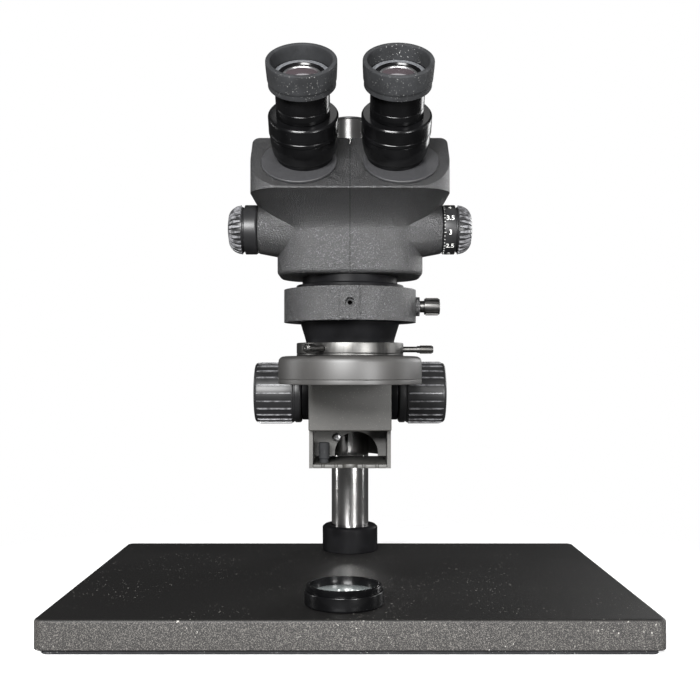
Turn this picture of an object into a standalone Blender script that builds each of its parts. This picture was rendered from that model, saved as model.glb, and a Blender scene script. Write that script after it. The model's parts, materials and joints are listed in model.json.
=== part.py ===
"""Zoom stereo microscope on a column stand, as a bench assembly of separate pieces.

Metres, +Z up. The origin is the middle of the mat's underside, the user sits on
the -Y side, and +X is to the user's right. Run it in Blender 4.5.
"""
import bmesh
import bpy
from math import atan, cos, pi, radians, sin, tan
from mathutils import Matrix

# ---- clearances ---------------------------------------------------------------------
GAP = 0.0003            # between faces that touch
FIT = 0.0004            # radial, between a shaft and what it turns or slides in

# ---- base and column ----------------------------------------------------------------
BASE_WIDTH = 0.400
BASE_DEPTH = 0.270
BASE_PLATE = 0.0197     # thickness of the plate
BASE_CORNER = 0.006
BASE_EDGE = 0.0022
MAT_THICK = 0.003
MAT_INSET = 0.004
COLUMN_RADIUS = 0.016
COLUMN_WALL = 0.003
COLUMN_TOP = 0.397      # height of the cap's top
COLUMN_SETBACK = 0.031  # column axis to the plate's back edge
COLUMN_FOOT = 0.037     # solid, tapped end of the column
COLLAR_HEIGHT = 0.022
COLLAR_WALL = 0.0075
CAP_THICK = 0.002
CAP_PLUG = 0.010
BOLT_RADIUS = 0.0049
BOLT_HEAD_RADIUS = 0.008
BOLT_HEAD = 0.010

# ---- focus body on the column --------------------------------------------------------
BODY_WIDTH = 0.062
BODY_WALL = 0.0028
BODY_BOTTOM = 0.105
BODY_HEIGHT = 0.100
BODY_REACH = 0.112      # column axis to the body's front
BUSH_WALL = 0.0037
BUSH_LENGTH = 0.060
CLAMP_KNOB_RADIUS = 0.013
CLAMP_KNOB_LENGTH = 0.022
POST_RADIUS = 0.0042
POST_HEIGHT = 0.016
POST_X = -0.020
WEB_THICK = 0.004        # wall across the body, behind the shaft
ARCH_RADIUS = 0.017      # opening in that wall, in front of the column
ARCH_X = 0.005
ARCH_HEIGHT = 0.009      # its middle, above the body's bottom
STOP_SCREW_X = -0.0100
STOP_SCREW_HEIGHT = 0.0216
STOP_SCREW_RADIUS = 0.0015
STOP_SCREW_HEAD = 0.0033
POCKET_HEIGHT = 0.029    # space under the bush
NOTCH_RADIUS = 0.006
CLAMP_HEIGHT = 0.065     # clamp screw, above the body's bottom
CLAMP_RADIUS = 0.003

# ---- focus drive ---------------------------------------------------------------------
GEAR_MODULE = 0.0008
FOCUS_TEETH = 14
FOCUS_TRAVEL = 0.022    # each way
SHAFT_RADIUS = 0.004
SHAFT_BEHIND_FRONT = 0.018
SHAFT_HEIGHT = 0.162
KNOB_RADIUS = 0.024
KNOB_LENGTH = 0.036
KNOB_ROUND = 0.004
FLANGE_RADIUS = 0.021
FLANGE_THICK = 0.0054
FLANGE_SPIGOT = 0.008    # radius of the part that sits in the body's wall

# ---- slider and head holder ----------------------------------------------------------
SLIDER_THICK = 0.0116
SLIDER_BOTTOM = 0.134
SLIDER_TOP = 0.234
WAY_HALF = 0.016        # narrow half width of the dovetail
WAY_FLARE = 0.0045
WAY_DEPTH = 0.0078
HOLDER_OUT = 0.0585     # slider front to the optical axis
HOLDER_RADIUS = 0.045
HOLDER_BORE = 0.0352
HOLDER_HEIGHT = 0.022
HOLDER_ARM_HALF = 0.022
PAD_HALF = 0.0062
PAD_PROUD = 0.0012
LUG_RADIUS = 0.0065
LUG_PROUD = 0.0025
SET_SCREW_RADIUS = 0.0015
SET_SCREW_SINK = 0.0033  # radius of the sink round the set screw
HOLDER_KNOB_HUB = 0.0040
HOLDER_KNOB_RADIUS = 0.0060
HOLDER_KNOB_LENGTH = 0.0105
HOLDER_HUB_LENGTH = 0.003

# ---- head ----------------------------------------------------------------------------
SHELL_WALL = 0.003
SHELL_BOTTOM = 0.2428
SHELL_TOP = 0.333
BLOCK_HALF = 0.049
BLOCK_FRONT = 0.036     # block's front face, ahead of the optical axis
BLOCK_BACK = 0.042
BLOCK_CORNER = 0.028
BLOCK_TOP = 0.270
FACE_HALF = 0.064       # half width of the sloping face
FACE_FRONT = 0.063      # its front edge, ahead of the optical axis
FACE_EDGE = 0.294       # its height
FACE_CORNER = 0.016
FLARE_POWER = 1.8        # how late the block flares out to the face
SEAM = 0.0003
BOSS_START = 0.030      # root of the zoom shaft's boss, inside the shell
SPIGOT_WALL = 0.0058    # from the spigot down to the hub above it
NECK_RADIUS = 0.0325
CONE_RADIUS = 0.030
CONE_WAIST = 0.199
CONE_BOTTOM = 0.176
CONE_WALL = 0.005

# ---- zoom drive ----------------------------------------------------------------------
ZOOM_AHEAD = 0.0112     # zoom shaft ahead of the optical axis
ZOOM_HEIGHT = 0.274
ZOOM_TEETH = 12
ZOOM_TURN = 2.356       # radians, each way
ZOOM_SHAFT_RADIUS = 0.0025
ZOOM_KNOB_RADIUS = 0.0165
ZOOM_KNOB_START = 0.0616
ZOOM_KNOB_LENGTH = 0.0202
BOSS_TAPER = 0.19
CELL_RADIUS = 0.008
CELL_OFFSET = 0.012     # each optical path from the middle
CARRIER_THICK = 0.006
LENS_LIP = 0.0016        # the zoom lens is this much smaller than its light way
ZOOM_RACK_BODY = 0.0035  # rack behind its teeth
PINION_WAY_HALF = 0.0040
ROD_RADIUS = 0.0015
ROD_OFFSET = 0.024
ROD_LENGTH = 0.052

# ---- eye tubes -----------------------------------------------------------------------
TUBE_TILT = radians(45)
EYE_HALF = 0.029        # half of the distance between the eyes
EYE_UP_FACE = 0.0311    # tube axis from the face's front edge, along the face
TURRET_OFFSET = 0.006   # tube axis from the turret's axis
TURRET_ANGLE = radians(-35.7)
TURRET_RADIUS = 0.0243
TURRET_SPIGOT = 0.0220
TURRET_PROUD = 0.002
TUBE_BORE = 0.0153
TUBE_FOOT_RADIUS = 0.0182
DIOPTER_RADIUS = 0.022
DIOPTER_START = 0.020   # heights along the tube axis, from the sloping face
DIOPTER_END = 0.0325
CUP_START = 0.0515
CUP_END = 0.0685
CUP_RADIUS = 0.0215
CUP_WALL = 0.003
EYE_RELIEF = 0.0095     # lens seat below the cup's rim
BARREL_RADIUS = 0.01675
PRISM_HALF = 0.0110
EYE_LENS_RADIUS = 0.0105

# ---- ring light ----------------------------------------------------------------------
LIGHT_RADIUS = 0.049
LIGHT_HEIGHT = 0.019
LIGHT_BOTTOM = 0.170
LIGHT_WALL = 0.002
ADAPTER_RADIUS = 0.0365
ADAPTER_HEIGHT = 0.0087
ADAPTER_SLEEVE = 0.0026
SCREW_RADIUS = 0.002
SCREW_HEAD_RADIUS = 0.0029
SCREW_HEAD = 0.010
SCREW_REACH = 0.047

# ---- auxiliary lens ------------------------------------------------------------------
AUX_X = -0.004
AUX_FROM_FRONT = 0.0405  # its axis from the plate's front edge
AUX_RADIUS = 0.0265
AUX_HEIGHT = 0.0137
AUX_THREAD_RADIUS = 0.0252
AUX_BORE = 0.0215

# ---- places worked out from the sizes above -------------------------------------------
PLATE_BOTTOM = MAT_THICK + GAP
PLATE_TOP = PLATE_BOTTOM + BASE_PLATE
COLUMN_Y = BASE_DEPTH / 2 - COLUMN_SETBACK
COLUMN_BOTTOM = PLATE_TOP + GAP
BUSH_RADIUS = COLUMN_RADIUS + FIT + BUSH_WALL
BODY_FRONT = COLUMN_Y - BODY_REACH
BODY_TOP = BODY_BOTTOM + BODY_HEIGHT
BODY_IN = BODY_WIDTH / 2 - BODY_WALL
SHAFT_Y = BODY_FRONT + SHAFT_BEHIND_FRONT
FLANGE_START = BODY_WIDTH / 2 + GAP
KNOB_START = FLANGE_START + FLANGE_THICK + GAP
SLIDER_BACK = BODY_FRONT - FIT
SLIDER_FRONT = SLIDER_BACK - SLIDER_THICK
WAY_FRONT = SLIDER_BACK + GAP
WAY_BACK = WAY_FRONT + WAY_DEPTH
AXIS_Y = SLIDER_FRONT - HOLDER_OUT
HOLDER_BOTTOM = SLIDER_TOP - HOLDER_HEIGHT
ZOOM_Y = AXIS_Y - ZOOM_AHEAD
FACE_Y = AXIS_Y - FACE_FRONT
SPIGOT_RADIUS = HOLDER_BORE - FIT
HUB_RADIUS = SPIGOT_RADIUS - SPIGOT_WALL
CONE_TOP_RADIUS = HOLDER_BORE - 3 * FIT
ADAPTER_BORE = CONE_RADIUS + FIT
ADAPTER_BOTTOM = LIGHT_BOTTOM + LIGHT_HEIGHT + GAP
LIGHT_BORE = ADAPTER_BORE + ADAPTER_SLEEVE + GAP

FINISHES = {            # base colour, metallic, roughness
    "black_paint": ((0.018, 0.018, 0.019), 0.0, 0.45),
    "grey_paint": ((0.11, 0.108, 0.10), 0.0, 0.55),
    "chrome": ((0.78, 0.78, 0.78), 1.0, 0.12),
    "steel": ((0.48, 0.48, 0.49), 1.0, 0.35),
    "brass": ((0.72, 0.52, 0.22), 1.0, 0.32),
    "aluminium": ((0.62, 0.62, 0.63), 1.0, 0.30),
    "black_anodised": ((0.012, 0.012, 0.013), 0.3, 0.22),
    "black_plastic": ((0.014, 0.014, 0.015), 0.0, 0.35),
    "rubber": ((0.045, 0.045, 0.047), 0.0, 0.8),
    "glass": ((0.55, 0.65, 0.68), 0.0, 0.05),
    "diffuser": ((0.85, 0.85, 0.82), 0.0, 0.5),
}


# ---- shape helpers ---------------------------------------------------------------------
def finish(slot):
    """The material of one finish, made once."""
    if slot in bpy.data.materials:
        return bpy.data.materials[slot]
    colour, metallic, roughness = FINISHES[slot]
    material = bpy.data.materials.new(slot)
    material.use_nodes = True
    shader = material.node_tree.nodes["Principled BSDF"]
    shader.inputs["Base Color"].default_value = (*colour, 1.0)
    shader.inputs["Metallic"].default_value = metallic
    shader.inputs["Roughness"].default_value = roughness
    return material


def add(bm, name, slot, place=Matrix.Identity(4)):
    """Links a bmesh as a named object, its faces pointing out."""
    bmesh.ops.recalc_face_normals(bm, faces=bm.faces)
    mesh = bpy.data.meshes.new(name)
    bm.to_mesh(mesh)
    bm.free()
    mesh.shade_smooth()
    mesh.set_sharp_from_angle(angle=radians(35))
    obj = bpy.data.objects.new(name, mesh)
    bpy.context.scene.collection.objects.link(obj)
    obj.matrix_world = place
    if slot is None:    # a cutter
        obj.hide_render = True
        obj.display_type = 'WIRE'
    else:
        mesh.materials.append(finish(slot))
    return obj


def sides_for(radius):
    """Facets of a round piece, fewer on a small one."""
    if radius > 0.028:
        return 32
    return 24 if radius > 0.010 else 12


def turned(name, outline, slot, place=Matrix.Identity(4), sides=None):
    """A solid turned about local Z from (radius, height) points of its section."""
    sides = sides or sides_for(max(radius for radius, _ in outline))
    bm = bmesh.new()
    rings = []
    for radius, height in outline:
        if radius == 0:
            rings.append([bm.verts.new((0, 0, height))])
            continue
        turns = [2 * pi * k / sides for k in range(sides)]
        rings.append([bm.verts.new((radius * cos(a), radius * sin(a), height)) for a in turns])
    for ring, following in zip(rings, rings[1:] + rings[:1]):
        for k in range(sides):
            loop = [ring[k % len(ring)], ring[(k + 1) % len(ring)],
                    following[(k + 1) % len(following)], following[k % len(following)]]
            corners = list(dict.fromkeys(loop))
            if len(corners) > 2:
                bm.faces.new(corners)
    return add(bm, name, slot, place)


def tube(name, inner, outer, bottom, top, slot, place=Matrix.Identity(4)):
    """A plain ring or sleeve about local Z."""
    section = [(inner, bottom), (outer, bottom), (outer, top), (inner, top)]
    return turned(name, section, slot, place)


def rod(name, radius, bottom, top, slot, place=Matrix.Identity(4)):
    """A plain solid cylinder along local Z."""
    return turned(name, [(0, bottom), (radius, bottom), (radius, top), (0, top)], slot, place)


def prism(name, outline, bottom, top, slot, place=Matrix.Identity(4)):
    """A flat outline of (x, y) points carried from bottom to top along local Z."""
    bm = bmesh.new()
    low = [bm.verts.new((x, y, bottom)) for x, y in outline]
    high = [bm.verts.new((x, y, top)) for x, y in outline]
    bm.faces.new(low)
    bm.faces.new(high)
    for k in range(len(outline)):
        following = (k + 1) % len(outline)
        bm.faces.new((low[k], low[following], high[following], high[k]))
    return add(bm, name, slot, place)


def box(name, low, high, slot):
    """A block between two opposite corners."""
    outline = [(low[0], low[1]), (high[0], low[1]), (high[0], high[1]), (low[0], high[1])]
    return prism(name, outline, low[2], high[2], slot)


def rounded(half_width, front, back, corner, steps=4):
    """Outline of a rectangle with round corners, anticlockwise from above."""
    outline = []
    centres = [(half_width, back, 0), (-half_width, back, 1), (-half_width, front, 2),
               (half_width, front, 3)]
    for x, y, quarter in centres:
        cx = x - corner if x > 0 else x + corner
        cy = y - corner if y == back else y + corner
        for k in range(steps + 1):
            a = (quarter + k / steps) * pi / 2
            outline.append((cx + corner * cos(a), cy + corner * sin(a)))
    return outline


def lofted(name, sections, slot):
    """A solid through (height, outline) sections that have the same number of points."""
    bm = bmesh.new()
    loops = [[bm.verts.new((x, y, height)) for x, y in outline] for height, outline in sections]
    for low, high in zip(loops, loops[1:]):
        for k in range(len(low)):
            following = (k + 1) % len(low)
            bm.faces.new((low[k], low[following], high[following], high[k]))
    bm.faces.new(loops[0])
    bm.faces.new(loops[-1])
    return add(bm, name, slot)


def boolean(obj, other, operation):
    """Adds a Boolean of a helper solid, which the build leaves out."""
    other.hide_render = True
    other.display_type = 'WIRE'
    modifier = obj.modifiers.new(other.name, 'BOOLEAN')
    modifier.operation = operation
    modifier.solver = 'EXACT'
    modifier.object = other
    return obj


def cut(obj, *cutters):
    for cutter in cutters:
        boolean(obj, cutter, 'DIFFERENCE')
    return obj


def fuse(obj, *others):
    for other in others:
        boolean(obj, other, 'UNION')
    return obj


def soften(obj, width, segments=2):
    """Rounds the sharp edges."""
    modifier = obj.modifiers.new("edges", 'BEVEL')
    modifier.width = width
    modifier.segments = segments
    modifier.limit_method = 'ANGLE'
    modifier.angle_limit = radians(50)
    return obj


def at(x, y, z):
    return Matrix.Translation((x, y, z))


def along_x(x, y, z, side=1):
    """A place whose local Z points along world X, to the right or the left."""
    return at(x, y, z) @ Matrix.Rotation(side * pi / 2, 4, 'Y')


def along_y(x, y, z):
    """A place whose local Z points along world Y."""
    return at(x, y, z) @ Matrix.Rotation(-pi / 2, 4, 'X')


def involute(radius, base_radius):
    """The polar angle at which an involute of base_radius reaches radius."""
    if radius <= base_radius:
        return 0.0
    run = (radius / base_radius) ** 2 - 1
    turn = run ** 0.5
    return turn - atan(turn)


def gear_outline(teeth, start):
    """Outline of a spur pinion with one tooth's middle at the angle start."""
    pitch_radius = GEAR_MODULE * teeth / 2
    base_radius = pitch_radius * cos(radians(20))
    heights = (-1.15, -0.3, 0.3, 0.85)
    outline = []
    for tooth in range(teeth):
        middle = start + 2 * pi * tooth / teeth
        flank = []
        for height in heights:
            radius = pitch_radius + height * GEAR_MODULE
            half = 0.78 * pi / 2 / teeth + involute(pitch_radius, base_radius)
            flank.append((radius, half - involute(radius, base_radius)))
        for radius, half in flank:
            outline.append((radius * cos(middle - half), radius * sin(middle - half)))
        for radius, half in reversed(flank):
            outline.append((radius * cos(middle + half), radius * sin(middle + half)))
    return outline


def rack_outline(below, above, body, centre):
    """Side view of a rack along local Y, its back at x = 0, with a gap at y = centre."""
    pitch = pi * GEAR_MODULE
    root, tip = body, body + 1.95 * GEAR_MODULE
    half_root = 0.78 * pitch / 4 + 1.1 * GEAR_MODULE * tan(radians(20))
    half_tip = 0.78 * pitch / 4 - 0.85 * GEAR_MODULE * tan(radians(20))
    outline = [(0, centre + above), (0, centre - below), (root, centre - below)]
    for k in range(-int(below / pitch - 0.1), int(above / pitch - 0.1)):
        middle = centre + (k + 0.5) * pitch
        outline += [(root, middle - half_root), (tip, middle - half_tip),
                    (tip, middle + half_tip), (root, middle + half_root)]
    return outline + [(root, centre + above)]


def lens(name, radius, bottom, thick, bulge, place=Matrix.Identity(4)):
    """A lens with both faces domed by bulge."""
    steps = 3
    dome = [(radius * k / steps, bulge * (k / steps) ** 2) for k in range(steps + 1)]
    section = [(r, bottom + rise) for r, rise in dome]
    section += [(r, bottom + thick - rise) for r, rise in reversed(dome)]
    return turned(name, section, "glass", place)


# ---- base and column -------------------------------------------------------------------
def base():
    half_width, half_depth = BASE_WIDTH / 2, BASE_DEPTH / 2
    head_bottom = PLATE_BOTTOM + 0.0007
    head_top = head_bottom + BOLT_HEAD
    mat = prism("base_mat", rounded(half_width - MAT_INSET, MAT_INSET - half_depth,
                                    half_depth - MAT_INSET, BASE_CORNER - MAT_INSET / 2),
                0, MAT_THICK, "rubber")
    cut(mat, rod("mat_hole", BOLT_HEAD_RADIUS + 0.003, -0.001, MAT_THICK + 0.001, None,
                 at(0, COLUMN_Y, 0)))
    plate = prism("base_plate", rounded(half_width, -half_depth, half_depth, BASE_CORNER),
                  PLATE_BOTTOM, PLATE_TOP, "black_paint")
    soften(plate, BASE_EDGE)
    counterbore = turned("bolt_way", [
        (0, PLATE_BOTTOM - 0.001), (BOLT_HEAD_RADIUS + FIT, PLATE_BOTTOM - 0.001),
        (BOLT_HEAD_RADIUS + FIT, head_top + GAP), (BOLT_RADIUS + FIT, head_top + GAP),
        (BOLT_RADIUS + FIT, PLATE_TOP + 0.001), (0, PLATE_TOP + 0.001)],
        None, at(0, COLUMN_Y, 0))
    cut(plate, counterbore)
    turned("column_bolt", [
        (0, head_bottom), (BOLT_HEAD_RADIUS, head_bottom), (BOLT_HEAD_RADIUS, head_top),
        (BOLT_RADIUS, head_top), (BOLT_RADIUS, COLUMN_BOTTOM + COLUMN_FOOT - 0.006),
        (0, COLUMN_BOTTOM + COLUMN_FOOT - 0.006)],
        "steel", at(0, COLUMN_Y, 0))


def column():
    place = at(0, COLUMN_Y, 0)
    tube_top = COLUMN_TOP - CAP_THICK - GAP
    bore = COLUMN_RADIUS - COLUMN_WALL
    turned("column", [
        (BOLT_RADIUS + FIT, COLUMN_BOTTOM), (COLUMN_RADIUS, COLUMN_BOTTOM),
        (COLUMN_RADIUS, tube_top), (bore, tube_top),
        (bore, COLUMN_BOTTOM + COLUMN_FOOT), (BOLT_RADIUS + FIT, COLUMN_BOTTOM + COLUMN_FOOT)],
        "chrome", place)
    turned("column_cap", [
        (0, tube_top - CAP_PLUG), (bore - GAP, tube_top - CAP_PLUG), (bore - GAP, tube_top + GAP),
        (COLUMN_RADIUS, tube_top + GAP), (COLUMN_RADIUS - 0.0008, COLUMN_TOP),
        (0, COLUMN_TOP)], "black_plastic", place)
    inner = COLUMN_RADIUS + FIT
    outer = inner + COLLAR_WALL
    top = COLUMN_BOTTOM + COLLAR_HEIGHT
    turned("column_collar", [
        (inner, COLUMN_BOTTOM), (outer, COLUMN_BOTTOM), (outer, top - 0.003),
        (outer - 0.0012, top - 0.0015), (outer - 0.0030, top), (inner, top)],
        "black_anodised", place)


# ---- focus body ------------------------------------------------------------------------
def body_outline(steps=10):
    half = BODY_WIDTH / 2
    back = [(half * cos(pi * k / steps), COLUMN_Y + half * sin(pi * k / steps))
            for k in range(steps + 1)]
    return [(-half, BODY_FRONT), (half, BODY_FRONT)] + back


def focus_body():
    below, above = BODY_BOTTOM - 0.001, BODY_TOP + 0.001
    cavity_back = COLUMN_Y - BUSH_RADIUS - 0.012
    pocket_top = BODY_BOTTOM + POCKET_HEIGHT
    pocket_radius = BODY_WIDTH / 2 - 0.004
    web_front = SHAFT_Y + 0.010
    web_back = web_front + WEB_THICK
    screw_z = BODY_BOTTOM + STOP_SCREW_HEIGHT
    clamp_height = BODY_BOTTOM + CLAMP_HEIGHT

    body = prism("focus_body", body_outline(), BODY_BOTTOM, BODY_TOP, "grey_paint")
    cut(body,
        box("cavity", (-BODY_IN, BODY_FRONT - 0.001, below), (BODY_IN, cavity_back,
                                                             BODY_TOP - BODY_WALL), None),
        box("way_slot", (-BODY_IN + 0.001, BODY_FRONT - 0.001, BODY_TOP - 2 * BODY_WALL),
            (BODY_IN - 0.001, SHAFT_Y, above), None),
        rod("pocket", pocket_radius, below, pocket_top, None, at(0, COLUMN_Y, 0)),
        box("pocket_mouth", (-BODY_IN + 0.004, cavity_back - 0.002, below - 0.0005),
            (BODY_IN - 0.004, COLUMN_Y - 0.010, pocket_top - 0.001), None),
        rod("bush_bore", BUSH_RADIUS + FIT, below, above, None, at(0, COLUMN_Y, 0)),
        rod("shaft_bore", FLANGE_SPIGOT + GAP, -BODY_WIDTH, BODY_WIDTH, None,
            along_x(0, SHAFT_Y, SHAFT_HEIGHT)),
        rod("clamp_bore", CLAMP_RADIUS + FIT, 0, BODY_WIDTH, None,
            along_x(0, COLUMN_Y, clamp_height)))
    web = box("web", (-BODY_IN - 0.001, web_front, BODY_BOTTOM + 0.007),
              (BODY_IN + 0.001, web_back, BODY_TOP - 0.001), None)
    fuse(body, web)
    cut(body,
        rod("arch", ARCH_RADIUS, web_front - 0.001, web_back + 0.001, None,
            along_y(ARCH_X, 0, BODY_BOTTOM + ARCH_HEIGHT)),
        rod("stop_screw_bore", STOP_SCREW_RADIUS + FIT, web_front - 0.001, web_back + 0.001,
            None, along_y(STOP_SCREW_X, 0, screw_z)))

    turned("stop_screw", [
        (0, web_front - 0.0030), (STOP_SCREW_HEAD - 0.0011, web_front - 0.0030),
        (STOP_SCREW_HEAD, web_front - 0.0018), (STOP_SCREW_HEAD, web_front - GAP),
        (STOP_SCREW_RADIUS, web_front - GAP), (STOP_SCREW_RADIUS, web_back + 0.002),
        (0, web_back + 0.002)],
        "steel", along_y(STOP_SCREW_X, 0, screw_z))

    plate_top = BODY_BOTTOM + BODY_WALL
    floor = box("body_floor", (-BODY_IN + GAP, BODY_FRONT, BODY_BOTTOM),
                (BODY_IN - GAP, cavity_back - 0.006, plate_top), "grey_paint")
    cut(floor, rod("floor_notch", NOTCH_RADIUS, below, above, None, at(0, BODY_FRONT - 0.002, 0)))
    rod("stop_post", POST_RADIUS, plate_top + GAP, plate_top + POST_HEIGHT, "rubber",
        at(POST_X, SHAFT_Y - 0.004, 0))

    for side, word in ((-1, "left"), (1, "right")):
        narrow, wide = WAY_HALF + FIT, WAY_HALF + WAY_FLARE + FIT
        section = [(side * narrow, BODY_FRONT), (side * (BODY_IN - GAP), BODY_FRONT),
                   (side * (BODY_IN - GAP), WAY_BACK), (side * wide, WAY_BACK)]
        prism("guide_rail_" + word, section, SLIDER_BOTTOM + 0.002,
              BODY_TOP - BODY_WALL - GAP, "steel")
        bore = SHAFT_RADIUS + FIT
        turned("shaft_flange_" + word, [
            (bore, BODY_IN - 0.002), (FLANGE_SPIGOT, BODY_IN - 0.002),
            (FLANGE_SPIGOT, FLANGE_START),
            (FLANGE_RADIUS, FLANGE_START), (FLANGE_RADIUS, FLANGE_START + FLANGE_THICK),
            (bore, FLANGE_START + FLANGE_THICK)],
            "black_anodised", along_x(0, SHAFT_Y, SHAFT_HEIGHT, side))

    bush_bottom = pocket_top + 0.006
    bush = tube("column_bush", COLUMN_RADIUS + FIT, BUSH_RADIUS, bush_bottom,
                bush_bottom + BUSH_LENGTH, "brass", at(0, COLUMN_Y, 0))
    cut(bush, box("bush_slit", (-0.001, COLUMN_Y, below),
                  (0.001, COLUMN_Y + 2 * BUSH_RADIUS, above), None))

    stud, knob = BUSH_RADIUS + FIT, BODY_WIDTH / 2 + 0.0025
    turned("clamp_knob", [
        (0, stud), (CLAMP_RADIUS, stud), (CLAMP_RADIUS, knob - 0.0015), (0.006, knob - 0.0015),
        (0.006, knob), (CLAMP_KNOB_RADIUS, knob), (CLAMP_KNOB_RADIUS, knob + CLAMP_KNOB_LENGTH - 0.003),
        (CLAMP_KNOB_RADIUS - 0.003, knob + CLAMP_KNOB_LENGTH), (0, knob + CLAMP_KNOB_LENGTH)],
        "black_plastic", along_x(0, COLUMN_Y, clamp_height))


def focus_drive():
    pitch_radius = GEAR_MODULE * FOCUS_TEETH / 2
    bore_end = KNOB_START + 0.6 * KNOB_LENGTH
    place = along_x(0, SHAFT_Y, SHAFT_HEIGHT)
    shaft = rod("focus_shaft", SHAFT_RADIUS, GAP - bore_end, bore_end - GAP, "steel", place)
    fuse(shaft, prism("focus_pinion", gear_outline(FOCUS_TEETH, -pi / 2), -0.005, 0.005, None,
                      place))
    end = KNOB_START + KNOB_LENGTH
    bore = SHAFT_RADIUS + GAP
    rim = [(KNOB_RADIUS - KNOB_ROUND * (1 - cos(a)), end - KNOB_ROUND * (1 - sin(a)))
           for a in (0, pi / 4, pi / 2)]
    for side, word in ((-1, "left"), (1, "right")):
        turned("focus_knob_" + word, [
            (bore, KNOB_START), (KNOB_RADIUS - 0.0015, KNOB_START), (KNOB_RADIUS, KNOB_START + 0.001),
            *rim, (0, end), (0, bore_end), (bore, bore_end)],
            "black_plastic", along_x(0, SHAFT_Y, SHAFT_HEIGHT, side))

    rack_back = WAY_BACK + GAP
    rack_body = SHAFT_Y - pitch_radius - 1.1 * GEAR_MODULE - rack_back
    reach = FOCUS_TRAVEL + 0.0055
    to_pinion = Matrix(((0, 0, 1, 0), (1, 0, 0, rack_back), (0, 1, 0, 0), (0, 0, 0, 1)))
    prism("focus_rack", rack_outline(reach, reach, rack_body, SHAFT_HEIGHT),
          -0.004, 0.004, "steel", to_pinion)


def slider():
    block = box("slider_block", (-BODY_WIDTH / 2, SLIDER_FRONT, SLIDER_BOTTOM),
                (BODY_WIDTH / 2, SLIDER_BACK, SLIDER_TOP), "grey_paint")
    soften(block, 0.0010)
    wide = WAY_HALF + WAY_FLARE
    section = [(-WAY_HALF, WAY_FRONT), (WAY_HALF, WAY_FRONT), (wide, WAY_BACK), (-wide, WAY_BACK)]
    prism("slide_way", section, SLIDER_BOTTOM + 0.001, BODY_TOP - 0.005, "aluminium")

    middle = at(0, AXIS_Y, 0)
    height = (HOLDER_BOTTOM + SLIDER_TOP) / 2
    lug_end = HOLDER_RADIUS + LUG_PROUD
    holder = tube("head_holder", HOLDER_BORE - 0.002, HOLDER_RADIUS, HOLDER_BOTTOM, SLIDER_TOP,
                  "black_paint", middle)
    pad_front = AXIS_Y - HOLDER_RADIUS - PAD_PROUD
    bore_depth = HOLDER_RADIUS - HOLDER_BORE + PAD_PROUD + 0.003
    fuse(holder,
         box("holder_pad", (-PAD_HALF, pad_front, HOLDER_BOTTOM + 0.0006),
             (PAD_HALF, AXIS_Y - HOLDER_BORE - 0.002, SLIDER_TOP - 0.0006), None),
         box("holder_arm", (-HOLDER_ARM_HALF, AXIS_Y + HOLDER_BORE + 0.003, HOLDER_BOTTOM + 0.001),
             (HOLDER_ARM_HALF, SLIDER_FRONT - GAP, SLIDER_TOP - 0.001), None),
         rod("holder_lug", LUG_RADIUS, HOLDER_BORE + 0.003, lug_end, None,
             along_x(0, AXIS_Y, height)))
    cut(holder,
        rod("holder_bore", HOLDER_BORE, HOLDER_BOTTOM - 0.001, SLIDER_TOP + 0.001, None, middle),
        turned("set_screw_bore", [
            (0, 0), (SET_SCREW_SINK, 0), (SET_SCREW_SINK, 0.003), (SET_SCREW_RADIUS, 0.003),
            (SET_SCREW_RADIUS, bore_depth), (0, bore_depth)],
               None, along_y(0, pad_front - 0.001, height)),
        rod("holder_screw_bore", SCREW_RADIUS + FIT, HOLDER_BORE - 0.003, lug_end + 0.001, None,
            along_x(0, AXIS_Y, height)))

    tip, hub = HOLDER_BORE + GAP, lug_end + GAP
    knob = hub + HOLDER_HUB_LENGTH
    end = knob + HOLDER_KNOB_LENGTH
    turned("holder_screw", [
        (0, tip), (SCREW_RADIUS, tip), (SCREW_RADIUS, hub), (HOLDER_KNOB_HUB, hub),
        (HOLDER_KNOB_HUB, knob), (HOLDER_KNOB_RADIUS, knob), (HOLDER_KNOB_RADIUS, end - 0.001),
        (HOLDER_KNOB_RADIUS - 0.0008, end), (0, end)], "chrome", along_x(0, AXIS_Y, height))


# ---- head ------------------------------------------------------------------------------
def head_form(name, inset):
    """The head's outer form, or its cavity when inset is the wall's thickness."""
    sections = [(SHELL_BOTTOM + inset, rounded(
        BLOCK_HALF - 0.003 - inset, AXIS_Y - BLOCK_FRONT + 0.003 + inset,
        AXIS_Y + BLOCK_BACK - 0.003 - inset, BLOCK_CORNER - 0.002 - inset))]
    for share in (0, 0.5, 1):
        height = BLOCK_TOP + share * (FACE_EDGE - 0.001 - BLOCK_TOP)
        flare = share ** FLARE_POWER
        half = BLOCK_HALF + flare * (FACE_HALF - BLOCK_HALF) - inset
        front = AXIS_Y - BLOCK_FRONT - flare * (FACE_FRONT - BLOCK_FRONT) + inset
        corner = BLOCK_CORNER + flare * (FACE_CORNER - BLOCK_CORNER) - inset
        outline = rounded(half, front, AXIS_Y + BLOCK_BACK - inset, corner)
        if share == 0:
            sections.append((SHELL_BOTTOM + 0.003 + inset, outline))
        sections.append((height, outline))
    sections.append((SHELL_TOP - inset, sections[-1][1]))
    form = lofted(name, sections, None)
    reach = 2 * FACE_HALF
    above_face = prism(name + "_face", [(-reach, -reach), (reach, -reach), (reach, reach),
                                        (-reach, reach)],
                       -inset, 2 * reach, None, face_place())
    return cut(form, above_face)


def face_place():
    """On the front edge of the sloping face; local Z points along the eye tubes."""
    return at(0, FACE_Y, FACE_EDGE) @ Matrix.Rotation(TUBE_TILT, 4, 'X')


def turret_place(side):
    across = EYE_HALF - TURRET_OFFSET * sin(TURRET_ANGLE)
    up = EYE_UP_FACE - TURRET_OFFSET * cos(TURRET_ANGLE)
    return face_place() @ at(side * across, up, 0)


def tube_place(side):
    return face_place() @ at(side * EYE_HALF, EYE_UP_FACE, 0)


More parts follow.
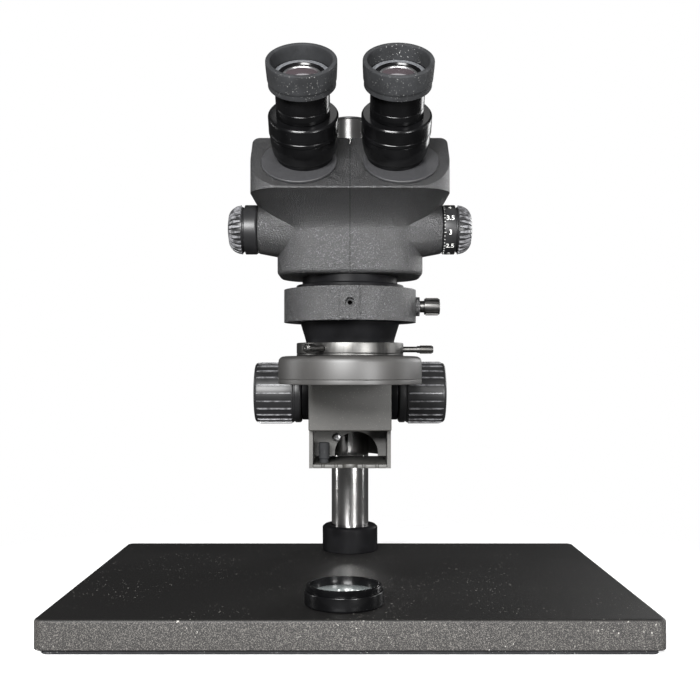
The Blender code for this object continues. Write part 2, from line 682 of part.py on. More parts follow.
def head():
    middle = at(0, AXIS_Y, 0)
    neck_top = SHELL_BOTTOM + SHELL_WALL + 0.001
    flange_radius = HOLDER_BORE + 0.0014
    cavity = head_form("cavity_form", SHELL_WALL)
    boss_end = ZOOM_KNOB_START - GAP
    reach = 2 * FACE_HALF
    for side, word in ((-1, "left"), (1, "right")):
        shell = head_form("head_shell_" + word, 0)
        shell.hide_render, shell.display_type = False, 'TEXTURED'
        shell.data.materials.append(finish("black_paint"))
        end_radius = ZOOM_KNOB_RADIUS - 0.0005
        boss = turned("boss_" + word, [
            (0, BOSS_START), (end_radius + BOSS_TAPER * (boss_end - BOSS_START), BOSS_START),
            (end_radius, boss_end), (0, boss_end)],
            None, along_x(0, ZOOM_Y, ZOOM_HEIGHT, side))
        fuse(shell, boss)
        inner_edge, outer_edge = sorted((side * SEAM / 2, -side * reach))
        cut(shell, cavity,
            rod("neck_way_" + word, HUB_RADIUS + FIT, SHELL_BOTTOM - 0.001, neck_top + 0.001,
                None, middle),
            rod("zoom_shaft_bore_" + word, ZOOM_SHAFT_RADIUS + FIT, 0, reach, None,
                along_x(0, ZOOM_Y, ZOOM_HEIGHT, side)),
            rod("turret_bore_" + word, TURRET_SPIGOT + 2 * FIT, -0.012, 0.010, None,
                turret_place(side)),
            box("other_half_" + word, (inner_edge, FACE_Y - reach, SHELL_BOTTOM - 0.010),
                (outer_edge, AXIS_Y + reach, SHELL_TOP + 0.010), None))

    neck = turned("head_neck", [
        (HUB_RADIUS - 0.002, HOLDER_BOTTOM + GAP), (SPIGOT_RADIUS, HOLDER_BOTTOM + GAP),
        (SPIGOT_RADIUS, SLIDER_TOP + GAP), (flange_radius, SLIDER_TOP + GAP),
        (flange_radius, SLIDER_TOP + 0.003), (NECK_RADIUS, SLIDER_TOP + 0.0035),
        (NECK_RADIUS, SHELL_BOTTOM - GAP), (HUB_RADIUS, SHELL_BOTTOM - GAP),
        (HUB_RADIUS, neck_top), (0, neck_top), (0, neck_top - 0.004),
        (HUB_RADIUS - 0.002, neck_top - 0.004)], "black_anodised", middle)
    cone_bore = CONE_RADIUS - CONE_WALL
    turned("objective_cone", [
        (cone_bore, CONE_BOTTOM), (CONE_RADIUS, CONE_BOTTOM), (CONE_RADIUS, CONE_WAIST),
        (CONE_TOP_RADIUS, HOLDER_BOTTOM), (cone_bore, HOLDER_BOTTOM)],
        "black_anodised", middle)
    lens("objective_lens", cone_bore - GAP, CONE_BOTTOM + 0.005, 0.008, 0.002, middle)

    carrier_middle = neck_top + ZOOM_TURN * GEAR_MODULE * ZOOM_TEETH / 2 + CARRIER_THICK / 2 + 0.001
    half = CARRIER_THICK / 2
    carrier = prism("zoom_carrier", rounded(ROD_OFFSET + 0.0035, -CELL_RADIUS, CELL_RADIUS, 0.004),
                    -half, half, "aluminium", at(0, AXIS_Y, carrier_middle))
    pitch_line = ZOOM_Y + GEAR_MODULE * ZOOM_TEETH / 2
    rack_back = pitch_line + 1.1 * GEAR_MODULE + ZOOM_RACK_BODY
    cut(carrier, box("pinion_way",
                     (-PINION_WAY_HALF, AXIS_Y - 2 * CELL_RADIUS, carrier_middle - 2 * half),
                     (PINION_WAY_HALF, rack_back - ZOOM_RACK_BODY + GAP, carrier_middle + 2 * half),
                     None))
    to_pinion = Matrix(((0, 0, -1, 0), (-1, 0, 0, rack_back), (0, 1, 0, 0), (0, 0, 0, 1)))
    rack = prism("zoom_rack", rack_outline(ZOOM_HEIGHT - carrier_middle + half - 0.0002, 0.017,
                                           ZOOM_RACK_BODY, ZOOM_HEIGHT),
                 -0.0025, 0.0025, None, to_pinion)
    fuse(carrier, rack)
    for side, word in ((-1, "left"), (1, "right")):
        path = at(side * CELL_OFFSET, AXIS_Y, carrier_middle)
        cut(neck, rod("light_way_" + word, CELL_RADIUS, neck_top - 0.006, neck_top + 0.001,
                      None, at(side * CELL_OFFSET, AXIS_Y, 0)))
        cut(carrier,
            rod("lens_seat_" + word, CELL_RADIUS - LENS_LIP, -CARRIER_THICK, CARRIER_THICK, None, path),
            rod("rod_way_" + word, ROD_RADIUS + FIT, -CARRIER_THICK, CARRIER_THICK, None,
                at(side * ROD_OFFSET, AXIS_Y, carrier_middle)))
        lens("zoom_lens_" + word, CELL_RADIUS - LENS_LIP - GAP, -0.0025, 0.005, 0.0012, path)
        rod("guide_rod_" + word, ROD_RADIUS, neck_top + GAP, neck_top + ROD_LENGTH, "steel",
            at(side * ROD_OFFSET, AXIS_Y, 0))


def zoom_drive():
    bore_end = ZOOM_KNOB_START + 0.6 * ZOOM_KNOB_LENGTH
    place = along_x(0, ZOOM_Y, ZOOM_HEIGHT)
    shaft = rod("zoom_shaft", ZOOM_SHAFT_RADIUS, GAP - bore_end, bore_end - GAP, "steel", place)
    fuse(shaft, prism("zoom_pinion", gear_outline(ZOOM_TEETH, pi / 2), -0.003, 0.003, None, place))
    straight = ZOOM_KNOB_START + 0.45 * ZOOM_KNOB_LENGTH
    dome_length = 0.55 * ZOOM_KNOB_LENGTH
    turns = [k * pi / 8 for k in range(1, 4)]
    dome = [(ZOOM_KNOB_RADIUS * cos(a) ** 0.6, straight + dome_length * sin(a) ** 0.9)
            for a in turns]
    bore = ZOOM_SHAFT_RADIUS + GAP
    for side, word in ((-1, "left"), (1, "right")):
        turned("zoom_knob_" + word, [
            (bore, ZOOM_KNOB_START), (ZOOM_KNOB_RADIUS - 0.0006, ZOOM_KNOB_START),
            (ZOOM_KNOB_RADIUS, ZOOM_KNOB_START + 0.0008), (ZOOM_KNOB_RADIUS, straight), *dome,
            (0, ZOOM_KNOB_START + ZOOM_KNOB_LENGTH), (0, bore_end), (bore, bore_end)],
            "black_plastic", along_x(0, ZOOM_Y, ZOOM_HEIGHT, side))


# ---- eye tubes -------------------------------------------------------------------------
def eye_tube(side, word):
    neck_radius = TUBE_BORE + 0.0010
    turret = turned(word + "_turret", [
        (0, -0.005), (TURRET_SPIGOT, -0.005), (TURRET_SPIGOT, GAP), (TURRET_RADIUS, GAP),
        (TURRET_RADIUS, TURRET_PROUD - 0.0005), (TURRET_RADIUS - 0.0005, TURRET_PROUD),
        (0, TURRET_PROUD)], "black_anodised", turret_place(side))
    place = tube_place(side)
    cut(turret, rod(word + "_tube_way", neck_radius + FIT, -0.020, 0.020, None, place))
    chamfer = 0.6 * PRISM_HALF
    prism_outline = [(-PRISM_HALF, -PRISM_HALF), (PRISM_HALF, -PRISM_HALF), (PRISM_HALF, chamfer),
                     (chamfer, PRISM_HALF), (-PRISM_HALF, PRISM_HALF)]
    prism(word + "_prism", prism_outline, -0.030, -0.010, "glass", place)

    foot = TURRET_PROUD + GAP
    spigot, spigot_end = DIOPTER_RADIUS - 0.004, DIOPTER_END - 0.0025
    turned(word + "_eye_tube", [
        (TUBE_BORE, -0.008), (neck_radius, -0.008), (neck_radius, foot), (TUBE_FOOT_RADIUS, foot),
        (TUBE_FOOT_RADIUS, foot + 0.003), (DIOPTER_RADIUS - 0.0005, DIOPTER_START - GAP),
        (spigot, DIOPTER_START - GAP), (spigot, spigot_end), (TUBE_BORE, spigot_end)],
        "black_anodised", place)
    turned(word + "_diopter_ring", [
        (spigot + FIT, DIOPTER_START), (DIOPTER_RADIUS, DIOPTER_START),
        (DIOPTER_RADIUS, DIOPTER_END - 0.001), (DIOPTER_RADIUS - 0.0008, DIOPTER_END),
        (TUBE_BORE, DIOPTER_END), (TUBE_BORE, spigot_end + GAP),
        (spigot + FIT, spigot_end + GAP)], "black_anodised", place)

    insert = TUBE_BORE - FIT
    head_radius = CUP_RADIUS - CUP_WALL - FIT
    head_end = CUP_END - EYE_RELIEF
    seat = EYE_LENS_RADIUS + GAP
    turned(word + "_eyepiece", [
        (insert - 0.0025, DIOPTER_START - 0.006), (insert, DIOPTER_START - 0.006),
        (insert, DIOPTER_END + GAP), (BARREL_RADIUS, DIOPTER_END + GAP),
        (BARREL_RADIUS, CUP_START), (head_radius, CUP_START), (head_radius, head_end),
        (seat, head_end), (seat, head_end - 0.004), (insert - 0.0025, head_end - 0.004)],
        "black_anodised", place)
    lens(word + "_eye_lens", EYE_LENS_RADIUS, head_end - 0.0038, 0.0036, 0.0010, place)
    inner = CUP_RADIUS - CUP_WALL
    turned(word + "_eyecup", [
        (inner, CUP_START + GAP), (CUP_RADIUS - 0.0008, CUP_START + GAP),
        (CUP_RADIUS, CUP_END - 0.0012), (CUP_RADIUS - 0.0010, CUP_END),
        (inner + 0.0006, CUP_END), (inner, CUP_END - 0.0012)], "rubber", place)


# ---- ring light ------------------------------------------------------------------------
def ring_light():
    middle = at(0, AXIS_Y, 0)
    top = LIGHT_BOTTOM + LIGHT_HEIGHT
    inner_wall, outer_wall = LIGHT_BORE + LIGHT_WALL, LIGHT_RADIUS - LIGHT_WALL
    turned("light_housing", [
        (LIGHT_BORE, LIGHT_BOTTOM), (inner_wall, LIGHT_BOTTOM), (inner_wall, top - LIGHT_WALL),
        (outer_wall, top - LIGHT_WALL), (outer_wall, LIGHT_BOTTOM), (LIGHT_RADIUS, LIGHT_BOTTOM),
        (LIGHT_RADIUS, top - 0.004), (LIGHT_RADIUS - 0.0012, top - 0.0012),
        (LIGHT_RADIUS - 0.004, top), (LIGHT_BORE, top)], "black_plastic", middle)
    tube("light_diffuser", inner_wall + GAP, outer_wall - GAP, LIGHT_BOTTOM + 0.001,
         LIGHT_BOTTOM + 0.003, "diffuser", middle)

    sleeve = ADAPTER_BORE + ADAPTER_SLEEVE
    adapter_top = ADAPTER_BOTTOM + ADAPTER_HEIGHT
    adapter = turned("light_adapter", [
        (ADAPTER_BORE, LIGHT_BOTTOM + 0.002), (sleeve, LIGHT_BOTTOM + 0.002),
        (sleeve, ADAPTER_BOTTOM), (ADAPTER_RADIUS, ADAPTER_BOTTOM), (ADAPTER_RADIUS, adapter_top),
        (ADAPTER_BORE, adapter_top)], "chrome", middle)
    tip = CONE_RADIUS + 2 * GAP
    head_start = SCREW_REACH
    for number in range(3):
        turn = Matrix.Rotation(number * 2 * pi / 3, 4, 'Z')
        place = at(0, AXIS_Y, (ADAPTER_BOTTOM + adapter_top) / 2) @ turn @ along_x(0, 0, 0)
        cut(adapter, rod("light_screw_bore_%d" % number, SCREW_RADIUS + FIT, tip - 0.002,
                         ADAPTER_RADIUS + 0.002, None, place))
        turned("light_screw_%d" % (number + 1), [
            (0, tip), (SCREW_RADIUS, tip), (SCREW_RADIUS, head_start),
            (SCREW_HEAD_RADIUS, head_start), (SCREW_HEAD_RADIUS, head_start + SCREW_HEAD - 0.0006),
            (SCREW_HEAD_RADIUS - 0.0006, head_start + SCREW_HEAD),
            (0, head_start + SCREW_HEAD)], "chrome", place)


def aux_lens():
    place = at(AUX_X, AUX_FROM_FRONT - BASE_DEPTH / 2, PLATE_TOP + GAP)
    ring_height = AUX_HEIGHT - 0.004
    turned("aux_lens_ring", [
        (AUX_BORE, 0), (AUX_RADIUS - 0.0008, 0), (AUX_RADIUS, 0.0008),
        (AUX_RADIUS, ring_height - 0.0008), (AUX_RADIUS - 0.0008, ring_height),
        (AUX_THREAD_RADIUS, ring_height), (AUX_THREAD_RADIUS, AUX_HEIGHT),
        (AUX_BORE + 0.0015, AUX_HEIGHT), (AUX_BORE + 0.0015, 0.003), (AUX_BORE, 0.003)],
        "black_anodised", place)
    lens("aux_lens_glass", AUX_BORE + 0.0015 - GAP, 0.003 + GAP, 0.006, 0.0015, place)


def main():
    for obj in list(bpy.context.scene.objects):
        bpy.data.objects.remove(obj, do_unlink=True)
    base()
    column()
    focus_body()
    focus_drive()
    slider()
    head()
    zoom_drive()
    for side, word in ((-1, "left"), (1, "right")):
        eye_tube(side, word)
    ring_light()
    aux_lens()


main()
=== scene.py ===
"""Looks of a zoom stereo microscope: fine surfaces and finishes round the fixed frame of solids.

Metres, +Z up, the user on the -Y side. Every piece takes its place from the frame's nodes and
joints, is built at the origin with its place in its mesh, and rides on one of the frame's bodies.
"""
import json
from math import atan2, cos, hypot, pi, radians, sin, tau
from types import SimpleNamespace

import bmesh
import bpy
from mathutils import Matrix, Vector


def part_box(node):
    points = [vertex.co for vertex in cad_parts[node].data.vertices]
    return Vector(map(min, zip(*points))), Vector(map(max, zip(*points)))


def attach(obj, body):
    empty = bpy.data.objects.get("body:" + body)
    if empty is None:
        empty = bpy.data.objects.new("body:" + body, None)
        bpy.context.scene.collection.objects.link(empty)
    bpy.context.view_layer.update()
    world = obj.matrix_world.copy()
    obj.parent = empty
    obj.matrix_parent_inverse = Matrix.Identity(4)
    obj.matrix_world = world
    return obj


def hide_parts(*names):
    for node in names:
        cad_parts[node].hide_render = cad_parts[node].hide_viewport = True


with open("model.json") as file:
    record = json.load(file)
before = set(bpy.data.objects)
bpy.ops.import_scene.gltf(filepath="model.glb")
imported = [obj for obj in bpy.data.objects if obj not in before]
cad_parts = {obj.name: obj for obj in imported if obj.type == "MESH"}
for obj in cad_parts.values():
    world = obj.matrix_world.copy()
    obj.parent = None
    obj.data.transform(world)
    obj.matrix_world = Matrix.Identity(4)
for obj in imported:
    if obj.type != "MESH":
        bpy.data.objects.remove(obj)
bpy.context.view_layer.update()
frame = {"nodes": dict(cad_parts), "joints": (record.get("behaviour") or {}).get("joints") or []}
NODES = frame["nodes"]
JOINTS = {joint["name"]: joint for joint in frame["joints"]}

bl_info = {
    "name": "Stereo microscope looks",
    "version": (1, 0, 0),
    "blender": (4, 5, 0),
    "location": "View3D > Sidebar > Microscope",
    "description": "Builds the visible surfaces of a stereo microscope on a column stand",
    "category": "Object",
}

SIDES = (("left", -1), ("right", 1))
LIGHT_SCREWS = (1, 2, 3)
ROUND = 112             # facets round a large turned piece
SHARP = radians(38)     # faces that meet at more than this keep a crisp edge
MERGE = 1e-7            # points nearer than this are one
FILLET_SHARE = 0.48     # the most of an edge that one corner's fillet takes up
GAP = 0.0003            # between two pieces that nearly touch
SEAM_HALF = 0.00015     # each half of the head keeps this far from the middle


# ======================================================================================
# Settings
# ======================================================================================
def colour_setting(name, description, default):
    return bpy.props.FloatVectorProperty(name=name, description=description, subtype='COLOR',
                                         size=3, min=0, max=1, default=default)


def length_setting(name, description, default):
    return bpy.props.FloatProperty(name=name, description=description, unit='LENGTH',
                                   precision=5, min=0, default=default)


def count_setting(name, description, default):
    return bpy.props.IntProperty(name=name, description=description, min=3, max=200,
                                 default=default)


class MicroscopeColours(bpy.types.PropertyGroup):
    """Base colours of the finishes."""
    head: colour_setting("Head paint", "Wrinkle paint on the head and its holder",
                         (0.0075, 0.0075, 0.008))
    plate: colour_setting("Plate paint", "Fine textured paint on the base plate",
                          (0.0055, 0.0052, 0.0050))
    casting: colour_setting("Casting paint", "Textured paint on the slider and focus body",
                            (0.040, 0.038, 0.034))
    anodised: colour_setting("Anodised black", "Gloss black on tubes and eyepieces",
                             (0.0022, 0.0022, 0.0024))
    plastic: colour_setting("Knob plastic", "Moulded black of knobs and caps",
                            (0.010, 0.010, 0.0105))
    satin: colour_setting("Lamp plastic", "Satin black of the ring light's housing",
                          (0.026, 0.025, 0.024))
    rubber: colour_setting("Rubber", "Eyecups, mat and stop post", (0.014, 0.0145, 0.0155))
    marks: colour_setting("Marks", "Paint in the dial's numbers and ticks", (0.80, 0.80, 0.77))


class MicroscopeDetail(bpy.types.PropertyGroup):
    """Sizes and counts of the fine shapes."""
    edge: length_setting("Edge", "Rounding on the edges of castings", 0.0010)
    break_edge: length_setting("Broken edge", "Rounding on the edges of turned parts", 0.0004)
    focus_ridges: count_setting("Focus ridges", "Ridges round each focus knob", 24)
    zoom_ribs: count_setting("Zoom ribs", "Ribs round each zoom knob", 28)
    knurls: count_setting("Knurls", "Knurls round each thumb screw's head", 16)
    lamps: count_setting("Lamps", "Light points in the ring light", 36)
    threads: count_setting("Threads", "Grooves in the loose lens's thread", 6)


class MicroscopeStage(bpy.types.PropertyGroup):
    """Floor, lights and camera."""
    floor: colour_setting("Floor", "Plain pale floor", (0.86, 0.86, 0.86))
    key: bpy.props.FloatProperty(name="Key light", description="Power of the key light",
                                 unit='POWER', min=0, default=50)
    lens: bpy.props.FloatProperty(name="Lens", description="Camera's focal length",
                                  unit='CAMERA', min=10, default=50.3)
    distance: length_setting("Distance", "Camera ahead of the origin", 0.7486)
    eye_height: length_setting("Height", "Camera above the bench", 0.181)


# ======================================================================================
# Shader maths
# ======================================================================================
class Value:
    """A shader socket that takes part in Python expressions."""

    def __init__(self, finish, socket):
        self.finish = finish
        self.socket = socket

    def maths(self, operation, *values):
        return self.finish.node("ShaderNodeMath", {"operation": operation}, *values)

    def __add__(self, other):
        return self.maths('ADD', self, other)

    __radd__ = __add__

    def __mul__(self, other):
        return self.maths('MULTIPLY', self, other)

    __rmul__ = __mul__

    def __rsub__(self, other):
        return self.maths('SUBTRACT', other, self)

    def absolute(self):
        return self.maths('ABSOLUTE', self)


class Finish:
    """A procedural material under construction."""

    def __init__(self, name, **surface):
        self.material = bpy.data.materials.new(name)
        self.material.use_nodes = True
        self.tree = self.material.node_tree
        self.shader = self.tree.nodes["Principled BSDF"]
        self.height = None
        self.set(**surface)

    def node(self, kind, settings, *values, output=0, **named):
        """Any shader node: its settings first, then its sockets by order or by name."""
        node = self.tree.nodes.new(kind)
        for key, value in settings.items():
            setattr(node, key, value)
        for index, value in enumerate(values):
            self.feed(node.inputs[index], value)
        for key, value in named.items():
            self.feed(node.inputs[key.replace("_", " ")], value)
        return Value(self, node.outputs[output])

    def feed(self, socket, value):
        if isinstance(value, Value):
            self.tree.links.new(value.socket, socket)
        elif isinstance(value, tuple) and len(value) == 3 and socket.type == 'RGBA':
            socket.default_value = (*value, 1.0)
        else:
            socket.default_value = value

    def set(self, **surface):
        """Sets or links the shader's own sockets, such as Base_Color."""
        for key, value in surface.items():
            self.feed(self.shader.inputs[key.replace("_", " ")], value)
        return self

    def place(self, scale=(1, 1, 1)):
        """Object coordinates, stretched by scale."""
        where = self.node("ShaderNodeTexCoord", {}, output=3)
        return self.node("ShaderNodeMapping", {}, Vector=where, Scale=scale)

    def noise(self, scale, detail=2.0, rough=0.5, stretch=(1, 1, 1)):
        return self.node("ShaderNodeTexNoise", {}, Vector=self.place(stretch), Scale=scale,
                         Detail=detail, Roughness=rough)

    def cells(self, scale):
        """Distance from the middle of random cells."""
        return self.node("ShaderNodeTexVoronoi", {}, Vector=self.place(), Scale=scale)

    def ramp(self, value, low, high):
        """0 below low, 1 above high, smooth between."""
        return self.node("ShaderNodeMapRange", {"interpolation_type": 'SMOOTHSTEP'}, Value=value,
                         From_Min=low, From_Max=high)

    def walls(self, low, high):
        """1 on upright walls, 0 on level faces; low and high bound the change between them."""
        normal = self.node("ShaderNodeNewGeometry", {}, output=1)
        facing = self.node("ShaderNodeSeparateXYZ", {}, normal, output=2)
        return 1 - self.ramp(facing.absolute(), low, high)

    def blend(self, share, first, second):
        """A colour between two, by share."""
        node = self.tree.nodes.new("ShaderNodeMix")
        node.data_type = 'RGBA'
        for key, value in (("Factor_Float", share), ("A_Color", first), ("B_Color", second)):
            self.feed(next(s for s in node.inputs if s.identifier == key), value)
        return Value(self, next(s for s in node.outputs if s.identifier == "Result_Color"))

    def relief(self, height, distance, strength=1.0):
        """Adds a bump, on top of the one before."""
        values = {"Height": height, "Strength": strength, "Distance": distance}
        if self.height is not None:
            values["Normal"] = self.height
        self.height = self.node("ShaderNodeBump", {}, **values)
        self.set(Normal=self.height)
        return self

    def dust(self, base, share=0.75, scale=900, colour=(0.32, 0.31, 0.29)):
        """Base colour with thinly scattered specks of dust."""
        speck = self.ramp(self.noise(scale, 1.0), share, share + 0.04)
        patch = self.ramp(self.noise(28, 2.0), 0.45, 0.62)
        return self.blend(speck * patch, base, colour)


def shade(colour, factor):
    return tuple(min(1.0, channel * factor) for channel in colour)


# ======================================================================================
# Finishes
# ======================================================================================
def wrinkle_paint(name, colour, grain, depth, painted_glint):
    """Baked wrinkle paint: rounded grains whose tops are paled as painted glints, most on upright walls.
    """
    finish = Finish(name, IOR=1.72)
    broad = finish.noise(38, 3.0)
    grains = finish.noise(grain, 2.5, 0.6)
    fine = finish.noise(grain * 2.6, 1.0)
    tops = finish.ramp(grains, 0.55, 0.66)
    wall = finish.walls(0.10, 0.55)
    # painted light: grain tops paled up to sixteenfold as painted glints, mostly on upright walls, where
    # the front lamps fall
    base = finish.blend(tops * painted_glint * (0.12 + 0.88 * wall), colour, shade(colour, 16.0))
    base = finish.dust(finish.blend(finish.ramp(broad, 0.35, 0.75) * 0.5, base,
                                    shade(colour, 0.65)), 0.77)
    finish.set(Base_Color=base, Roughness=0.42 - 0.10 * tops + 0.08 * broad)
    return finish.relief(grains, depth, 0.9).relief(fine, depth * 0.3, 0.6).material


def plate_paint(colours):
    """Fine textured powder coat, dull, with dust all over; its upright sides are paled with bright grit
    as painted light.
    """
    finish = Finish("plate_paint", IOR=1.38)
    grit = finish.noise(2300, 1.5, 0.6)
    broad = finish.noise(9, 3.0)
    side = finish.walls(0.25, 0.9)
    base = finish.blend(finish.ramp(broad, 0.4, 0.7) * 0.6, colours.plate,
                        shade(colours.plate, 1.5))
    # painted light: upright sides paled, their grit as painted glints, where the front lamps fall
    painted_rim_light = finish.blend(finish.ramp(grit, 0.50, 0.66), shade(colours.plate, 2.3),
                       (0.115, 0.108, 0.100))
    base = finish.blend(side, base, painted_rim_light)
    base = finish.dust(base, 0.715, 620, (0.30, 0.29, 0.27))
    finish.set(Base_Color=base, Roughness=0.46 + 0.12 * broad + 0.10 * side)
    return finish.relief(grit, 0.00010, 0.8).material


def casting_paint(colours):
    """Warm grey texture paint of the slider and the focus body."""
    finish = Finish("casting_paint", IOR=1.7)
    grains = finish.noise(1500, 2.0, 0.55)
    stain = finish.noise(30, 4.0, 0.6)
    flecks = 1 - finish.ramp(finish.cells(420), 0.05, 0.22)
    base = finish.blend(finish.ramp(stain, 0.35, 0.7), colours.casting, shade(colours.casting, 0.72))
    base = finish.blend(finish.ramp(grains, 0.55, 0.75) * 0.45, base, shade(colours.casting, 1.7))
    # painted glints: pale flecks at the middles of random cells stand in for the paint's sparkle
    base = finish.blend(flecks * 0.5, base, shade(colours.casting, 3.2))
    finish.set(Base_Color=base, Roughness=0.52 + 0.14 * stain)
    return finish.relief(grains, 0.00014, 0.8).material


def gloss_black(colours):
    """Black anodising on turned aluminium, with faint turning rings and finger haze."""
    finish = Finish("gloss_black", IOR=1.25, Coat_Roughness=0.08)
    haze = finish.noise(60, 3.0)
    turning = finish.noise(900, 1.0, 0.5, (0.15, 0.15, 3.0))
    base = finish.blend(finish.ramp(haze, 0.4, 0.7), colours.anodised, shade(colours.anodised, 1.9))
    base = finish.dust(base, 0.80, 1200, (0.25, 0.25, 0.25))
    finish.set(Base_Color=base, Roughness=0.16 + 0.14 * haze, Coat_Weight=0.05 + 0.1 * haze)
    return finish.relief(turning, 0.000012, 0.5).material


def satin_black(colours):
    """Machined, matt anodised black of collars, neck and cone."""
    finish = Finish("satin_black", IOR=1.12)
    haze = finish.noise(45, 3.0)
    grain = finish.noise(1800, 1.0)
    base = finish.blend(finish.ramp(haze, 0.35, 0.7), shade(colours.anodised, 1.6),
                        shade(colours.anodised, 2.8))
    finish.set(Base_Color=base, Roughness=0.33 + 0.12 * haze)
    return finish.relief(grain, 0.00003, 0.5).material


def turret_satin(colours):
    """Blasted, anodised face of the turrets: a fine bright grain on dark grey."""
    finish = Finish("turret_satin", IOR=1.5)
    grain = finish.noise(1900, 2.0, 0.6)
    haze = finish.noise(55, 3.0)
    base = finish.blend(finish.ramp(grain, 0.45, 0.7), shade(colours.head, 2.2),
                        shade(colours.head, 6.0))
    finish.set(Base_Color=base, Roughness=0.42 + 0.14 * haze)
    return finish.relief(grain, 0.00012, 0.8).material


def knob_plastic(colours):
    """Moulded black plastic; the focus and zoom knobs' ridge crests carry a painted highlight, in a
    finish of their own.
    """
    finish = Finish("knob_plastic", IOR=1.36)
    haze = finish.noise(50, 3.0)
    skin = finish.noise(2600, 1.0)
    base = finish.blend(finish.ramp(haze, 0.35, 0.7), colours.plastic, shade(colours.plastic, 1.5))
    base = finish.dust(base, 0.80, 1100, (0.22, 0.22, 0.21))
    finish.set(Base_Color=base, Roughness=0.30 + 0.14 * haze)
    return finish.relief(skin, 0.00002, 0.5).material


def worn_crest(colours):
    """Crests of knob ridges, paled as a painted highlight, mottled, and made a little shinier."""
    finish = Finish("worn_crest", IOR=1.5)
    rub = finish.noise(260, 3.0, 0.6)
    # painted highlight: crests paled four- to sixteenfold, mottled by noise
    base = finish.blend(finish.ramp(rub, 0.35, 0.62), shade(colours.plastic, 4.0),
                        shade(colours.plastic, 16.0))
    finish.set(Base_Color=base, Roughness=0.26 + 0.14 * rub)
    return finish.relief(rub, 0.00003, 0.4).material


def lamp_plastic(colours):
    """Satin dark plastic of the ring light's housing."""
    finish = Finish("lamp_plastic", IOR=1.55)
    haze = finish.noise(26, 3.0)
    skin = finish.noise(2100, 1.5)
    base = finish.blend(finish.ramp(haze, 0.35, 0.7), colours.satin, shade(colours.satin, 1.35))
    base = finish.dust(base, 0.78, 1000, (0.20, 0.19, 0.18))
    finish.set(Base_Color=base, Roughness=0.40 + 0.12 * haze)
    return finish.relief(skin, 0.00003, 0.6).material


def dusty_rubber(colours):
    """Matte grey-black rubber with dust held in its grain."""
    finish = Finish("dusty_rubber", IOR=1.3)
    grain = finish.noise(2400, 2.0, 0.6)
    bloom = finish.noise(70, 4.0, 0.6)
    base = finish.blend(finish.ramp(bloom, 0.35, 0.75), colours.rubber, shade(colours.rubber, 1.8))
    base = finish.dust(base, 0.70, 1300, (0.34, 0.34, 0.33))
    finish.set(Base_Color=base, Roughness=0.72 + 0.14 * bloom)
    return finish.relief(grain, 0.00006, 0.8).material


def bright_chrome():
    """Polished chrome with a little haze and tiny pits."""
    finish = Finish("bright_chrome", Metallic=1.0)
    haze = finish.noise(40, 3.0)
    flecks = finish.ramp(finish.noise(1500, 1.0), 0.74, 0.80)
    base = finish.blend(flecks, (0.74, 0.73, 0.72), (0.30, 0.29, 0.28))
    finish.set(Base_Color=base, Roughness=0.10 + 0.12 * haze)
    return finish.relief(haze, 0.00004, 0.2).material


def satin_chrome():
    """Dull plated metal of the lamp's adapter and the thumb screws, with dark grime."""
    finish = Finish("satin_chrome", Metallic=1.0)
    grain = finish.noise(380, 3.0, 0.6, (1, 1, 0.2))
    grime = finish.ramp(finish.noise(110, 4.0, 0.65), 0.56, 0.74)
    plating = finish.blend(grain, (0.045, 0.044, 0.042), (0.115, 0.113, 0.110))
    base = finish.blend(grime * 0.8, plating, (0.10, 0.095, 0.085))
    finish.set(Base_Color=base, Roughness=0.30 + 0.16 * grain)
    return finish.relief(grain, 0.00003, 0.4).material


def cup_dust(colours):
    """Pale, dusty ring at the bottom of an eyecup."""
    finish = Finish("cup_dust", IOR=1.45)
    grain = finish.noise(900, 3.0, 0.6)
    base = finish.blend(finish.ramp(grain, 0.35, 0.7), shade(colours.rubber, 4.0),
                        shade(colours.rubber, 8.0))
    finish.set(Base_Color=base, Roughness=0.55 + 0.2 * grain)
    return finish.relief(grain, 0.00006, 0.5).material


def turned_steel():
    """Ground steel with a fine lengthwise grain."""
    finish = Finish("turned_steel", Metallic=1.0)
    grain = finish.noise(500, 2.0, 0.6, (1, 1, 0.06))
    base = finish.blend(grain, (0.36, 0.36, 0.37), (0.55, 0.55, 0.55))
    finish.set(Base_Color=base, Roughness=0.26 + 0.20 * grain)
    return finish.relief(grain, 0.00002, 0.4).material


def bright_aluminium():
    finish = Finish("bright_aluminium", Metallic=1.0)
    grain = finish.noise(420, 2.0, 0.6, (0.06, 1, 1))
    base = finish.blend(grain, (0.50, 0.50, 0.51), (0.66, 0.66, 0.66))
    finish.set(Base_Color=base, Roughness=0.28 + 0.18 * grain)
    return finish.relief(grain, 0.00002, 0.4).material


def turned_brass():
    finish = Finish("turned_brass", Metallic=1.0)
    tarnish = finish.noise(60, 4.0, 0.6)
    base = finish.blend(finish.ramp(tarnish, 0.4, 0.7), (0.62, 0.44, 0.18), (0.38, 0.25, 0.11))
    finish.set(Base_Color=base, Roughness=0.25 + 0.25 * tarnish)
    return finish.relief(tarnish, 0.00003, 0.3).material


def coated_glass():
    """Optical glass: dark and clear, with its coating's tint painted in as a reflection where it faces
    away.
    """
    finish = Finish("coated_glass", IOR=1.6, Specular_Tint=(0.80, 0.92, 1.0))
    smear = finish.noise(120, 3.0)
    painted_rim_light = finish.node("ShaderNodeLayerWeight", {}, Blend=0.35, output=1)
    # painted reflection: the coating's tint where the glass is seen at a glancing angle
    base = finish.blend(painted_rim_light, (0.020, 0.018, 0.020), (0.075, 0.055, 0.060))
    finish.set(Base_Color=base, Roughness=0.03 + 0.07 * smear, Coat_Weight=1.0)
    return finish.relief(smear, 0.00001, 0.1).material


